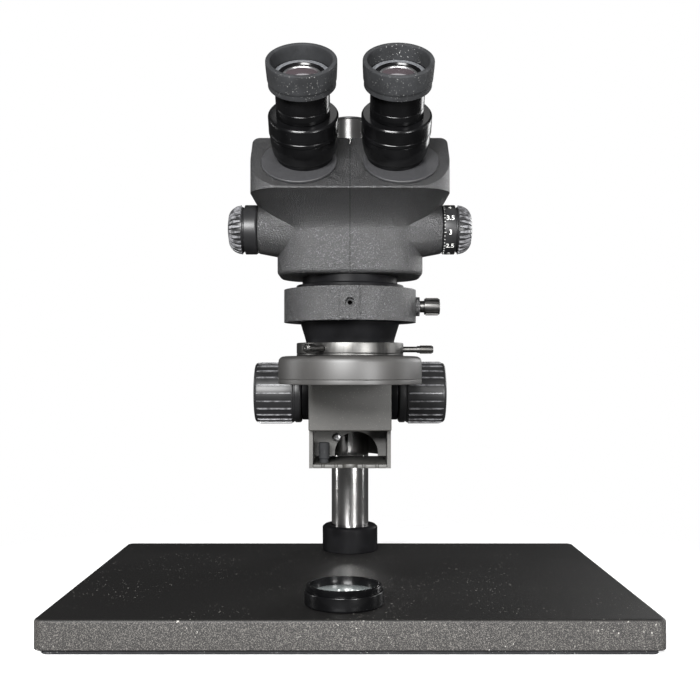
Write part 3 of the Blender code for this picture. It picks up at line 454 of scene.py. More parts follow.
def pale_glass():
    """A lens painted pale grey for the light seen in it, brighter where it faces away as a painted
    reflection, with dust in it.
    """
    finish = Finish("pale_glass", IOR=1.5)
    smear = finish.noise(90, 3.0)
    speck = finish.ramp(finish.noise(700, 1.0), 0.66, 0.72)
    painted_rim_light = finish.node("ShaderNodeLayerWeight", {}, Blend=0.3, output=1)
    # painted light: the whole lens pale grey, brighter at glancing angles as a painted reflection
    base = finish.blend(painted_rim_light, (0.22, 0.24, 0.23), (0.50, 0.55, 0.55))
    base = finish.blend(speck, base, (0.62, 0.62, 0.60))
    finish.set(Base_Color=base, Roughness=0.06 + 0.12 * smear, Coat_Weight=1.0)
    return finish.relief(smear, 0.00001, 0.1).material


def frosted_plastic():
    finish = Finish("frosted_plastic", IOR=1.45)
    frost = finish.noise(900, 2.0)
    base = finish.blend(frost, (0.74, 0.74, 0.71), (0.88, 0.88, 0.85))
    finish.set(Base_Color=base, Roughness=0.5 + 0.2 * frost)
    return finish.relief(frost, 0.00004, 0.5).material


def lamp_yellow():
    """The phosphor of an unlit white light point."""
    finish = Finish("lamp_phosphor", IOR=1.45)
    grain = finish.noise(1500, 2.0)
    base = finish.blend(grain, (0.80, 0.62, 0.14), (0.95, 0.84, 0.34))
    finish.set(Base_Color=base, Roughness=0.35 + 0.2 * grain)
    return finish.material


def mark_paint(colours):
    finish = Finish("mark_paint", IOR=1.45)
    worn = finish.noise(1700, 2.0)
    base = finish.blend(finish.ramp(worn, 0.5, 0.75), colours.marks, shade(colours.marks, 0.55))
    finish.set(Base_Color=base, Roughness=0.5 + 0.2 * worn)
    return finish.material


FINISHES = {}


def make_finishes(colours):
    FINISHES.update(
        head_paint=wrinkle_paint("head_paint", colours.head, 1400, 0.0011, 0.90),
        plate_paint=plate_paint(colours), casting_paint=casting_paint(colours),
        gloss_black=gloss_black(colours), satin_black=satin_black(colours),
        knob_plastic=knob_plastic(colours), lamp_plastic=lamp_plastic(colours),
        rubber=dusty_rubber(colours), chrome=bright_chrome(), steel=turned_steel(),
        aluminium=bright_aluminium(), brass=turned_brass(), glass=coated_glass(),
        pale_glass=pale_glass(), frosted=frosted_plastic(), phosphor=lamp_yellow(),
        marks=mark_paint(colours), turret_satin=turret_satin(colours),
        worn_crest=worn_crest(colours), satin_chrome=satin_chrome(), cup_dust=cup_dust(colours))


# ======================================================================================
# Places taken from the frame
# ======================================================================================
def place_on(joint, flip=1):
    """A place on a joint's axis; local Z runs along the axis, or against it when flip is -1."""
    record = JOINTS[joint]
    along = Vector(record["axis"]).normalized() * flip
    across = Vector((1, 0, 0)) if abs(along.x) < 0.9 else Vector((0, 0, -along.x)).normalized()
    across = (across - along * across.dot(along)).normalized()
    turn = Matrix((across, along.cross(across), along)).transposed().to_4x4()
    return Matrix.Translation(record["pos_m"]) @ turn


def upright(x, y):
    return Matrix.Translation((x, y, 0))


def facing_back(x, y, z):
    """A place whose local Z points towards +Y."""
    return Matrix.Translation((x, y, z)) @ Matrix.Rotation(-pi / 2, 4, 'X')


def box_axis(node):
    """The upright line through the middle of a node's box."""
    low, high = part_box(node)
    return upright((low.x + high.x) / 2, (low.y + high.y) / 2)


def head_axis():
    """The head's upright axis, from the bench."""
    axis = place_on("head_turn")
    axis.translation.z = 0
    return axis


def holder_screw_place():
    """The holder screw's axis, from the middle of the head."""
    along = place_on("holder_screw_turn")
    along.translation.x = 0
    return along


def light_screw_place(number):
    """A light screw's axis, from the middle of the lamp."""
    along = place_on("light_screw_turn_%d" % number)
    reach = (along.translation.xy - head_axis().translation.xy).length
    along.translation = along.translation - along.col[2].xyz * reach
    return along


def measured(node, place):
    """Least and greatest radius and height of a node about a place's local Z."""
    inverse = place.inverted()
    points = [inverse @ vertex.co for vertex in NODES[node].data.vertices]
    radii = [hypot(point.x, point.y) for point in points]
    heights = [point.z for point in points]
    return SimpleNamespace(bore=min(radii), radius=max(radii), low=min(heights), high=max(heights))


# ======================================================================================
# Mesh helpers
# ======================================================================================
def linked(name, data):
    """A new object with this data, linked to the scene."""
    piece = bpy.data.objects.new(name, data)
    bpy.context.scene.collection.objects.link(piece)
    return piece


def mesh_from(bm, name):
    """A bmesh's contents as a mesh; the bmesh is freed."""
    mesh = bpy.data.meshes.new(name)
    bm.to_mesh(mesh)
    bm.free()
    return mesh


def repaint(piece, finish):
    """Leaves a piece one finish only."""
    piece.data.materials.clear()
    piece.data.materials.append(FINISHES[finish])


def finished(bm, name, finish, place=Matrix.Identity(4)):
    """An object at the origin with its place in its mesh and its faces pointing out."""
    bmesh.ops.transform(bm, matrix=place, verts=bm.verts)
    bmesh.ops.remove_doubles(bm, verts=bm.verts, dist=MERGE)
    bmesh.ops.recalc_face_normals(bm, faces=bm.faces)
    mesh = mesh_from(bm, name)
    mesh.shade_smooth()
    mesh.set_sharp_from_angle(angle=SHARP)
    if finish:
        mesh.materials.append(FINISHES[finish])
    return linked(name, mesh)


def keep(piece, body, slot, *nodes):
    """Rides a finished piece on its body and hides the nodes it stands for; slot is not used."""
    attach(piece, body)
    if nodes:
        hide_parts(*nodes)
    return piece


def filleted(points, steps=4):
    """A closed (radius, height, fillet) outline with its corners turned into arcs."""
    outline = []
    count = len(points)
    for k, point in enumerate(points):
        corner = Vector(point[:2])
        fillet = point[2] if len(point) > 2 else 0
        if not fillet:
            outline.append(tuple(corner))
            continue
        before = Vector(points[k - 1][:2]) - corner
        after = Vector(points[(k + 1) % count][:2]) - corner
        reach = min(fillet, FILLET_SHARE * before.length, FILLET_SHARE * after.length)
        start = corner + before.normalized() * reach
        end = corner + after.normalized() * reach
        for step in range(steps + 1):
            t = step / steps
            spot = start * (1 - t) ** 2 + corner * 2 * t * (1 - t) + end * t ** 2
            outline.append(tuple(spot))
    return outline


def lathe_mesh(points, sides=ROUND):
    """A closed surface turned about Z; an outline that touches the axis closes there."""
    outline = filleted(points)
    bm = bmesh.new()
    rings = []
    for radius, height in outline:
        if radius < MERGE:
            rings.append([bm.verts.new((0, 0, height))])
        else:
            rings.append([bm.verts.new((radius * cos(tau * k / sides),
                                        radius * sin(tau * k / sides), height))
                          for k in range(sides)])
    for ring, following in zip(rings, rings[1:] + rings[:1]):
        for k in range(sides):
            loop = (ring[k % len(ring)], ring[(k + 1) % len(ring)],
                    following[(k + 1) % len(following)], following[k % len(following)])
            corners = list(dict.fromkeys(loop))
            if len(corners) > 2:
                bm.faces.new(corners)
    return bm


def lathe(name, points, place, finish, sides=ROUND):
    return finished(lathe_mesh(points, sides), name, finish, place)


def rounded_outline(half_width, front, back, corner, steps=10):
    """A rectangle with round corners, anticlockwise from above."""
    corners = ((half_width - corner, back - corner), (corner - half_width, back - corner),
               (corner - half_width, front + corner), (half_width - corner, front + corner))
    return [(x + corner * cos((quarter + k / steps) * pi / 2),
             y + corner * sin((quarter + k / steps) * pi / 2))
            for quarter, (x, y) in enumerate(corners) for k in range(steps + 1)]


def stacked(name, layers, finish):
    """A solid through (height, outline) layers with the same number of points."""
    bm = bmesh.new()
    loops = [[bm.verts.new((x, y, height)) for x, y in outline] for height, outline in layers]
    for low, high in zip(loops, loops[1:]):
        for k in range(len(low)):
            after = (k + 1) % len(low)
            bm.faces.new((low[k], low[after], high[after], high[k]))
    bm.faces.new(loops[0])
    bm.faces.new(loops[-1])
    return finished(bm, name, finish)


def block(name, low, high, finish=None):
    outline = [(low[0], low[1]), (high[0], low[1]), (high[0], high[1]), (low[0], high[1])]
    return stacked(name, [(low[2], outline), (high[2], outline)], finish)


def rod(name, radius, low, high, place, sides=48):
    return lathe(name, [(0, low), (radius, low), (radius, high), (0, high)], place, None, sides)


def carve(piece, operation, *others):
    """Applies Booleans with helper solids and removes the helpers."""
    for other in others:
        modifier = piece.modifiers.new("boolean", 'BOOLEAN')
        modifier.operation = operation
        modifier.solver = 'EXACT'
        modifier.object = other
    return settled(piece, others)


def cut(piece, *others):
    return carve(piece, 'DIFFERENCE', *others)


def fuse(piece, *others):
    return carve(piece, 'UNION', *others)


def settled(piece, helpers=()):
    """Turns a piece's modifiers into its plain mesh."""
    bpy.context.view_layer.update()
    evaluated = piece.evaluated_get(bpy.context.evaluated_depsgraph_get())
    mesh = bpy.data.meshes.new_from_object(evaluated)
    mesh.name = piece.name
    piece.modifiers.clear()
    piece.data = mesh
    mesh.shade_smooth()
    mesh.set_sharp_from_angle(angle=SHARP)
    for helper in helpers:
        bpy.data.objects.remove(helper, do_unlink=True)
    return piece


def eased(piece, width, segments=3, angle=40):
    """Rounds a piece's sharp edges so that they catch the light."""
    modifier = piece.modifiers.new("edges", 'BEVEL')
    modifier.width = width
    modifier.segments = segments
    modifier.limit_method = 'ANGLE'
    modifier.angle_limit = radians(angle)
    modifier.use_clamp_overlap = True
    return settled(piece)


def joined(name, pieces):
    """Several pieces as one object that keeps each one's finish."""
    bm = bmesh.new()
    mesh = bpy.data.meshes.new(name)
    for piece in pieces:
        start = len(bm.faces)
        bm.from_mesh(piece.data)
        bm.faces.ensure_lookup_table()
        material = piece.data.materials[0]
        if material.name not in mesh.materials:
            mesh.materials.append(material)
        index = list(mesh.materials).index(material)
        for face in bm.faces[start:]:
            face.material_index = index
    bm.to_mesh(mesh)
    bm.free()
    mesh.set_sharp_from_angle(angle=SHARP)
    whole = linked(name, mesh)
    for piece in pieces:
        bpy.data.objects.remove(piece, do_unlink=True)
    return whole


# ======================================================================================
# Geometry Nodes for what repeats round an axis
# ======================================================================================
def ring_tree(name, material):
    """Copies of one solid round local Z: inputs are the solid, the count and the step."""
    tree = bpy.data.node_groups.new(name, 'GeometryNodeTree')
    face = tree.interface
    for label, kind in (("Geometry", "NodeSocketGeometry"), ("Solid", "NodeSocketObject"),
                        ("Count", "NodeSocketInt"), ("Step", "NodeSocketFloat")):
        face.new_socket(label, in_out='INPUT', socket_type=kind)
    face.new_socket("Geometry", in_out='OUTPUT', socket_type='NodeSocketGeometry')
    nodes, link = tree.nodes, tree.links.new
    group_in, group_out = nodes.new("NodeGroupInput"), nodes.new("NodeGroupOutput")
    points = nodes.new("GeometryNodeMeshLine")
    points.inputs["Offset"].default_value = (0, 0, 0)
    solid = nodes.new("GeometryNodeObjectInfo")
    copies = nodes.new("GeometryNodeInstanceOnPoints")
    index = nodes.new("GeometryNodeInputIndex")
    angle = nodes.new("ShaderNodeMath")
    angle.operation = 'MULTIPLY'
    turn = nodes.new("ShaderNodeCombineXYZ")
    real = nodes.new("GeometryNodeRealizeInstances")
    paint = nodes.new("GeometryNodeSetMaterial")
    paint.inputs["Material"].default_value = material
    link(group_in.outputs["Count"], points.inputs["Count"])
    link(group_in.outputs["Solid"], solid.inputs["Object"])
    link(points.outputs["Mesh"], copies.inputs["Points"])
    link(solid.outputs["Geometry"], copies.inputs["Instance"])
    link(index.outputs["Index"], angle.inputs[0])
    link(group_in.outputs["Step"], angle.inputs[1])
    link(angle.outputs["Value"], turn.inputs["Z"])
    link(turn.outputs["Vector"], copies.inputs["Rotation"])
    link(copies.outputs["Instances"], real.inputs["Geometry"])
    link(real.outputs["Geometry"], paint.inputs["Geometry"])
    link(paint.outputs["Geometry"], group_out.inputs["Geometry"])
    return tree


def ringed(name, solid, count, place, finish):
    """Repeats a helper solid round local Z and leaves one plain mesh."""
    tree = ring_tree(name + "_ring", FINISHES[finish])
    carrier = linked(name, bpy.data.meshes.new(name))
    modifier = carrier.modifiers.new("ring", 'NODES')
    modifier.node_group = tree
    values = {"Solid": solid, "Count": count, "Step": tau / count}
    for item in tree.interface.items_tree:
        if item.in_out == 'INPUT' and item.name in values:
            modifier[item.identifier] = values[item.name]
    settled(carrier, [solid])
    carrier.data.transform(place)
    repaint(carrier, finish)
    carrier.data.polygons.foreach_set("material_index", [0] * len(carrier.data.polygons))
    return carrier


# ======================================================================================
# Stand
# ======================================================================================
def slab(name, node, corner, arc, finish, steps=6):
    """A plate in a node's box, with round corners and a rounded upper edge."""
    low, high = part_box(node)
    foot = 0.0006

    def outline(inset):
        return rounded_outline(high.x - inset, low.y + inset, high.y - inset, corner - inset, 14)

    layers = [(low.z, outline(foot)), (low.z + foot, outline(0))]
    for step in range(steps + 1):
        turn = step / steps * pi / 2
        layers.append((high.z - arc + arc * sin(turn), outline(arc * (1 - cos(turn)))))
    return stacked(name, layers, finish)


def make_base(detail):
    plate = slab("base_plate_skin", "base_plate", 0.006, 0.0022, "plate_paint")
    keep(plate, "stand", "black_paint", "base_plate")
    mat = slab("base_mat_skin", "base_mat", 0.004, 0.0004, "rubber")
    keep(mat, "stand", "rubber", "base_mat")


def make_column(detail):
    axis = box_axis("column")
    tube = measured("column", axis)
    column = lathe("column_skin", [
        (0, tube.low), (tube.radius, tube.low), (tube.radius, tube.high, 0.0006), (0, tube.high)],
        axis, "chrome")
    keep(column, "stand", "chrome", "column")
    collar = measured("column_collar", axis)
    ring = lathe("column_collar_skin", [
        (collar.bore, collar.low), (collar.radius, collar.low, 0.0004),
        (collar.radius, collar.high - 0.0020, 0.0008), (collar.radius - 0.0022, collar.high, 0.0006),
        (collar.bore, collar.high, 0.0003)], axis, "satin_black")
    keep(ring, "stand", "black_anodised", "column_collar")
    cap = measured("column_cap", axis)
    plug = 0.0125             # the part of the cap that sits in the tube
    lid = lathe("column_cap_skin", [
        (0, cap.low), (plug, cap.low), (plug, tube.high + 0.0002),
        (cap.radius, tube.high + 0.0002), (cap.radius, cap.high - 0.0007, 0.0006),
        (cap.radius - 0.0030, cap.high - 0.0001, 0.0008),
        (0, cap.high)], axis, "knob_plastic")
    keep(lid, "stand", "black_plastic", "column_cap")


# ======================================================================================
# Focus body
# ======================================================================================
def horseshoe(half, front, middle, steps=44):
    """The focus body's outline: square in front, round behind about the column."""
    return [(-half, front), (half, front)] + [
        (half * cos(pi * k / steps), middle + half * sin(pi * k / steps)) for k in range(steps + 1)]


def make_focus_body(detail):
    """The hollow casting; its cutters overshoot by different amounts, so no two faces coincide."""
    low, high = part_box("focus_body")
    shaft = place_on("focus_turn")
    shaft_y = shaft.translation.y
    axis = box_axis("column")
    column_y = axis.translation.y
    column = measured("column", axis).radius
    half, wall, pocket_wall = high.x, 0.0028, 0.004
    inner = half - wall
    bush_room = 0.0045        # from the column's skin to the bore that holds the bush
    shaft_bore = 0.0083
    cavity_back = column_y - column - 0.0161
    pocket_top = low.z + 0.029
    web_front, web_back, web_foot = shaft_y + 0.010, shaft_y + 0.014, low.z + 0.007
    arch_radius, arch_depth = 0.017, 0.030
    outline = horseshoe(half, low.y, column_y)
    body = stacked("focus_body_skin", [(low.z, outline), (high.z, outline)], "casting_paint")
    cut(body,
        block("cavity", (-inner, low.y - 0.001, low.z - 0.001), (inner, cavity_back, high.z - wall)),
        block("slot", (0.001 - inner, low.y - 0.002, high.z - 2 * wall),
              (inner - 0.001, shaft_y, high.z + 0.001)),
        rod("pocket", half - pocket_wall, low.z - 0.002, pocket_top, axis, 96),
        block("pocket_mouth", (pocket_wall - inner, cavity_back - 0.002, low.z - 0.003),
              (inner - pocket_wall, column_y - 0.010, pocket_top - 0.001)),
        rod("bush_bore", column + bush_room, low.z - 0.004, high.z + 0.001, axis, 96),
        rod("shaft_bore", shaft_bore, -0.1, 0.1, shaft))
    fuse(body, block("web", (-inner - 0.001, web_front, web_foot),
                     (inner + 0.001, web_back, high.z - 0.001)))
    cut(body, rod("arch", arch_radius, 0.0, arch_depth, facing_back(0.005, shaft_y, low.z + 0.009), 72))
    repaint(body, "casting_paint")
    eased(body, detail.edge * 0.6)
    keep(body, "arm", "grey_paint", "focus_body")


def make_body_floor(detail):
    """The plate under the focus body, notched in front for the post and drilled for screws."""
    low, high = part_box("body_floor")
    post_notch, screw_hole = 0.006, 0.0011
    floor = block("body_floor_skin", low, high, "casting_paint")
    notches = [rod("notch", post_notch, -1, 1, upright(0, low.y - 0.002))]
    for side in (-1, 1):
        for across in (0.0105, 0.0205):
            notches.append(rod("notch", screw_hole, -1, 1, upright(side * across, low.y), 24))
    cut(floor, *notches)
    eased(floor, detail.break_edge, 2)
    keep(floor, "arm", "grey_paint", "body_floor")


def make_stop_post(detail):
    axis = box_axis("stop_post")
    post = measured("stop_post", axis)
    foot = post.radius * 0.82
    pin = lathe("stop_post_skin", [
        (0, post.low), (foot, post.low), (foot, post.low + 0.003, 0.0003),
        (post.radius, post.low + 0.0034, 0.0003), (post.radius, post.high, 0.0010),
        (0, post.high)], axis, "rubber", 64)
    keep(pin, "arm", "rubber", "stop_post")


def make_stop_screw(detail):
    """A round-headed screw with a cross slot, seen from the front."""
    low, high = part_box("stop_screw")
    facing = facing_back((low.x + high.x) / 2, low.y, (low.z + high.z) / 2)
    head, under_head, pin = (high.z - low.z) / 2, 0.0027, 0.0015
    screw = lathe("stop_screw_skin", [
        (0, 0), (head * 0.72, 0.0002, 0.0008), (head, 0.0014, 0.0006), (head, under_head, 0.0001),
        (pin, under_head), (pin, high.y - low.y), (0, high.y - low.y)], facing, "steel", 48)
    slot_length, slot_half, slot_depth, slot_turn = 0.0019, 0.00035, 0.0011, 0.4
    for turn in (0, pi / 2):
        slot = block("slot", (-slot_length, -slot_half, -0.001), (slot_length, slot_half, slot_depth))
        slot.data.transform(facing @ Matrix.Rotation(turn + slot_turn, 4, 'Z'))
        cut(screw, slot)
    keep(screw, "arm", "steel", "stop_screw")


def make_shaft_flanges(detail):
    half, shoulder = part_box("focus_body")[1].x, 0.008
    for word, side in SIDES:
        node = "shaft_flange_" + word
        along = place_on("focus_turn", side)
        flange = measured(node, along)
        ring = lathe(node + "_skin", [
            (flange.bore, flange.low), (shoulder, flange.low), (shoulder, half + GAP),
            (flange.radius, half + GAP, detail.break_edge),
            (flange.radius, flange.high, detail.edge), (flange.bore, flange.high)],
            along, "satin_black")
        keep(ring, "arm", "black_anodised", node)


def make_clamp_knob(detail):
    along = place_on("clamp_turn")
    knob = measured("clamp_knob", along)
    start, end, radius, pin = knob.high - 0.022, knob.high, knob.radius, 0.003
    turned = lathe("clamp_knob_stem", [
        (0, knob.low), (pin, knob.low, 0.0005), (pin, start - 0.0015),
        (0.0075, start - 0.0015, 0.0004), (0.0085, start), (radius - 0.0006, start, 0.0006),
        (radius - 0.0006, end - 0.0015, 0.0022),
        (radius - 0.005, end, 0.0008), (radius - 0.0055, end - 0.0006, 0.0002), (0, end - 0.0006)],
        along, "knob_plastic")
    ridge = axial_ridge([(radius - 0.0012, start + 0.001), (radius + 0.0001, start + 0.0018),
                         (radius + 0.0001, end - 0.0032), (radius - 0.0024, end - 0.0012),
                         (radius - 0.0034, end - 0.0026)], 0.0011)
    grip = ringed("clamp_knob_grip", ridge, detail.knurls, along, "knob_plastic")
    keep(joined("clamp_knob_skin", [turned, grip]), "clamp", "black_plastic", "clamp_knob")


def axial_ridge(outline, width):
    """A helper strip: a (radius, height) outline given a width that narrows towards its crest."""
    bm = bmesh.new()
    crest = max(radius for radius, height in outline)
    sides = []
    for side in (-1, 1):
        loop = []
        for radius, height in outline:
            half = width * (0.5 if crest - radius > 0.0006 else 0.30)
            loop.append(bm.verts.new((radius, side * half, height)))
        sides.append(loop)
        bm.faces.new(loop)
    for k in range(len(outline)):
        after = (k + 1) % len(outline)
        bm.faces.new((sides[0][k], sides[0][after], sides[1][after], sides[1][k]))
    bmesh.ops.recalc_face_normals(bm, faces=bm.faces)
    return linked("ridge", mesh_from(bm, "ridge"))


def make_focus_knobs(detail):
    for word, side in SIDES:
        node = "focus_knob_" + word
        along = place_on("focus_turn", side)
        knob = measured(node, along)
        start, end, radius = knob.low, knob.high, knob.radius
        skin = radius - 0.0009
        grip_start = end - 0.0300
        turned = lathe(node + "_turned", [
            (0.0042, start), (skin - 0.0012, start, 0.0003), (skin, start + 0.0010, 0.0006),
            (skin, grip_start - 0.0012, 0.0003), (skin - 0.0007, grip_start - 0.0006),
            (skin - 0.0007, grip_start, 0.0003), (skin, grip_start + 0.0006, 0.0003),
            (skin, end, 0.0046), (radius - 0.0070, end, 0.0006), (radius - 0.0076, end - 0.0009, 0.0004),
            (0.0065, end - 0.0009, 0.0003), (0.0060, end - 0.0004, 0.0004), (0, end - 0.0004),
            (0, end - 0.010), (0.0042, end - 0.010)], along, "knob_plastic")
        ridge = axial_ridge([(skin - 0.0010, grip_start + 0.0008), (radius, grip_start + 0.0020),
                             (radius, end - 0.0044), (radius - 0.0006, end - 0.0026),
                             (radius - 0.0022, end - 0.0010), (radius - 0.0040, end - 0.0024)], 0.0013)
        grip = ringed(node + "_grip", ridge, detail.focus_ridges, along, "worn_crest")
        keep(joined(node + "_skin", [turned, grip]), "focus", "black_plastic", node)


# ======================================================================================
# Slider and holder
# ======================================================================================
def make_slider(detail):
    low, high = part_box("slider_block")
    slide = block("slider_block_skin", low, high, "casting_paint")
    eased(slide, detail.edge, 4)
    keep(slide, "slider", "grey_paint", "slider_block")


def make_holder(detail):
    """The ring that carries the head, with its arm behind, a pad in front and a lug at the side."""
    axis = head_axis()
    axis_y = axis.translation.y
    low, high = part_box("head_holder")
    bore, radius, stock = 0.0352, 0.045, 0.002      # the ring is bored out last, through its stock
    pad_half, arm_half, lug_radius = 0.0062, 0.022, 0.0065
    sink, sink_depth, hole, hole_depth = 0.0033, 0.0042, 0.0015, 0.014
    screw_way = 0.0024
    holder = lathe("head_holder_skin", [
        (bore - stock, low.z), (radius, low.z), (radius, high.z), (bore - stock, high.z)],
        axis, "head_paint", 144)
    screw = holder_screw_place()
    facing = facing_back(0, low.y - 0.001, (low.z + high.z) / 2)
    fuse(holder,
         block("pad", (-pad_half, low.y, low.z + 0.0006),
               (pad_half, axis_y - bore - stock, high.z - 0.0006)),
         block("arm", (-arm_half, axis_y + bore + 0.003, low.z + 0.001),
               (arm_half, high.y, high.z - 0.001)),
         rod("lug", lug_radius, bore + 0.003, high.x, screw))
    cut(holder,
        rod("bore", bore, low.z - 0.001, high.z + 0.001, axis, 144),
        lathe("set_screw_way", [(0, 0), (sink, 0), (sink, sink_depth), (hole, sink_depth),
                                (hole, hole_depth), (0, hole_depth)], facing, None, 40),
        rod("screw_way", screw_way, bore - 0.003, high.x + 0.001, screw))
    repaint(holder, "head_paint")
    eased(holder, detail.edge * 0.7)
    keep(holder, "slider", "black_paint", "head_holder")


def thumb_screw(node, along, body, hub, head_start, detail):
    """A knurled thumb screw: a shaft, a hub (start, end, radius) and a head with fine teeth."""
    screw = measured(node, along)
    name, head, head_end = node + "_skin", screw.radius, screw.high
    pin = 0.002
    skin = head - 0.0005
    turned = lathe(name + "_turned", [
        (0, screw.low), (pin - 0.0004, screw.low), (pin, screw.low + 0.0004), (pin, hub[0]),
        (hub[2], hub[0], 0.0003), (hub[2], hub[1]), (skin, head_start, 0.0004),
        (skin, head_end, 0.0008), (skin - 0.0018, head_end, 0.0003), (skin - 0.0021, head_end - 0.0004),
        (0, head_end - 0.0004)], along, "satin_chrome", 72)
    tooth = axial_ridge([(skin - 0.0006, head_start + 0.0005), (head, head_start + 0.0009),
                         (head, head_end - 0.0012), (skin - 0.0006, head_end - 0.0007)],
                        pi * head / detail.knurls)
    knurl = ringed(name + "_knurl", tooth, detail.knurls, along, "satin_chrome")
    keep(joined(name, [turned, knurl]), body, "chrome", node)


def make_holder_screw(detail):
    along = holder_screw_place()
    hub = measured("holder_screw", along).high - 0.0135
    head_start = hub + 0.0030
    thumb_screw("holder_screw", along, "holder_clamp", (hub, head_start, 0.0040), head_start, detail)


# ======================================================================================
# Head
# ======================================================================================
def face_place():
    """The middle of the sloping face's front edge; local Z points along the eye tubes."""
    left, right = place_on("left_diopter_turn"), place_on("right_diopter_turn")
    along = left.col[2].xyz
    up_face = Vector((0, along.z, -along.y))
    middle = (left.translation + right.translation) / 2
    return Matrix((Vector((1, 0, 0)), up_face, along)).transposed().to_4x4(), middle


def head_form(name, inset, steps=14, rows=16):
    """The head's outer form, or its cavity when inset is the wall's thickness."""
    axis_y = head_axis().translation.y
    low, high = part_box("head_shell_right")
    block_half, block_front, block_back, block_corner = 0.049, 0.036, 0.042, 0.028
    face_half, face_front, face_corner = high.x, 0.063, 0.022
    flare_start, flare_power = 0.270, 1.8
    foot, foot_steps = 0.0030, 4          # the rounding at the bottom
    crown, crown_steps = 0.0045, 5        # and at the top
    turn, middle = face_place()
    face_edge = middle.z - (middle.y - (axis_y - face_front))

    def outline(flare, less):
        half = block_half + flare * (face_half - block_half) - less
        front = axis_y - block_front - flare * (face_front - block_front) + less
        corner = block_corner + flare * (face_corner - block_corner) - less
        return rounded_outline(half, front, axis_y + block_back - less, corner, steps)

    layers = []
    for step in range(foot_steps + 1):
        arc = step / foot_steps * pi / 2
        layers.append((low.z + inset + foot * (1 - cos(arc)),
                       outline(0, inset + foot * (1 - sin(arc)))))
    for row in range(rows + 1):
        share = row / rows
        layers.append((flare_start + share * (face_edge - 0.001 - flare_start),
                       outline(share ** flare_power, inset)))
    for step in range(crown_steps + 1):
        arc = step / crown_steps * pi / 2
        layers.append((high.z - inset - crown * (1 - sin(arc)),
                       outline(1, inset + crown * (1 - cos(arc)))))
    form = stacked(name, layers, None)
    reach = 0.130
    above = block("above_face", (-reach, -reach, -inset), (reach, reach, 2 * reach))
    above.data.transform(Matrix.Translation(middle) @ turn)
    return cut(form, above)


def make_head_shells(detail):
    """The head's two halves, with the zoom knobs' bosses and the ways for neck and turrets."""
    low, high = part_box("head_shell_left")
    axis_y = head_axis().translation.y
    wall, boss_start, boss_slope = 0.003, 0.030, 0.19
    neck_way, shaft_way, turret_way = 0.0295, 0.0029, 0.0228
    cavity = head_form("cavity", wall, 8, 8)
    for word, side in SIDES:
        node = "head_shell_" + word
        shell = head_form(node + "_skin", 0)
        zoom = place_on("zoom_turn", side)
        knob = measured("zoom_knob_" + word, zoom)
        boss_end, end_radius = knob.low - GAP, knob.radius - 0.0005
        root = end_radius + boss_slope * (boss_end - boss_start)
        boss = lathe("boss", [(0, boss_start), (root, boss_start), (end_radius, boss_end, 0.0009),
                              (0, boss_end)], zoom, None, 144)
        fuse(shell, boss)
        turret = place_on(word + "_eye_swing")
        edge = side * SEAM_HALF
        near, far = sorted((edge, -side * 0.2))
        inner = linked("cavity_copy", cavity.data.copy())
        cut(shell, inner,
            rod("neck_way", neck_way, low.z - 0.002, low.z + 0.005, upright(0, axis_y), 96),
            rod("shaft_way", shaft_way, 0.010, 0.1, zoom),
            rod("turret_way", turret_way, -0.012, 0.010, turret, 96),
            block("other_half", (near, axis_y - 0.2, low.z - 0.01),
                  (far, axis_y + 0.2, high.z + 0.02)))
        repaint(shell, "head_paint")
        eased(shell, detail.edge * 1.3, 4, 38)
        keep(shell, "head", "black_paint", node)
    bpy.data.objects.remove(cavity, do_unlink=True)


def make_seam_lip(detail):
    """Strip behind the front seam, a hair clear of both halves, that shuts out the light."""
    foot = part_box("head_shell_left")[0].z
    axis_y = head_axis().translation.y
    outer, inner, half = 0.0032, 0.0042, 0.0020
    lip = head_form("seam_lip", outer, 8, 8)
    hollow = head_form("lip_hollow", inner, 8, 8)
    span = block("lip_span", (-half, axis_y - 0.2, foot + 0.006), (half, axis_y - 0.018, foot + 0.2))
    carve(lip, 'INTERSECT', span)
    cut(lip, hollow)
    repaint(lip, "satin_black")
    keep(lip, "head", "black_paint")


def make_neck_and_cone(detail):
    axis = head_axis()
    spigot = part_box("head_neck")
    spigot_radius, flange, neck_radius, root = 0.0348, 0.0366, 0.0325, 0.0290
    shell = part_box("head_shell_left")[0].z
    holder_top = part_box("head_holder")[1].z
    neck = lathe("head_neck_skin", [
        (0, spigot[0].z), (spigot_radius, spigot[0].z, 0.0004), (spigot_radius, holder_top + GAP),
        (flange, holder_top + GAP, 0.0004), (flange, holder_top + 0.0030, 0.0006),
        (neck_radius, holder_top + 0.0036, 0.0004), (neck_radius, shell - GAP), (root, shell - GAP),
        (root, shell + 0.0038), (0, shell + 0.0038)], axis, "satin_black", 144)
    keep(neck, "head", "black_anodised", "head_neck")
    cone = measured("objective_cone", axis)
    bore, waist, barrel = cone.bore, 0.199, 0.0300
    turns, pitch = 5, 0.0007
    threads = []
    for k in range(turns):
        height = cone.low + 0.0008 + pitch * k
        threads += [(bore, height), (bore - 0.0002, height + 0.00035)]
    skin = lathe("objective_cone_skin", [
        *threads, (bore - 0.0002, cone.low + 0.0046), (bore + 0.0001, cone.low + 0.0046),
        (bore + 0.0001, cone.high), (cone.radius, cone.high, 0.0006),
        (barrel, waist, 0.0020), (barrel, cone.low, 0.0006), (bore + 0.0008, cone.low, 0.0002)][::-1],
        axis, "satin_black", 144)
    keep(skin, "head", "black_anodised", "objective_cone")
    node = measured("objective_lens", axis)
    glass = lathe("objective_lens_skin", lens_outline(node.radius, node.low, node.high, 0.002), axis,
                  "glass", 96)
    keep(glass, "head", "glass", "objective_lens")


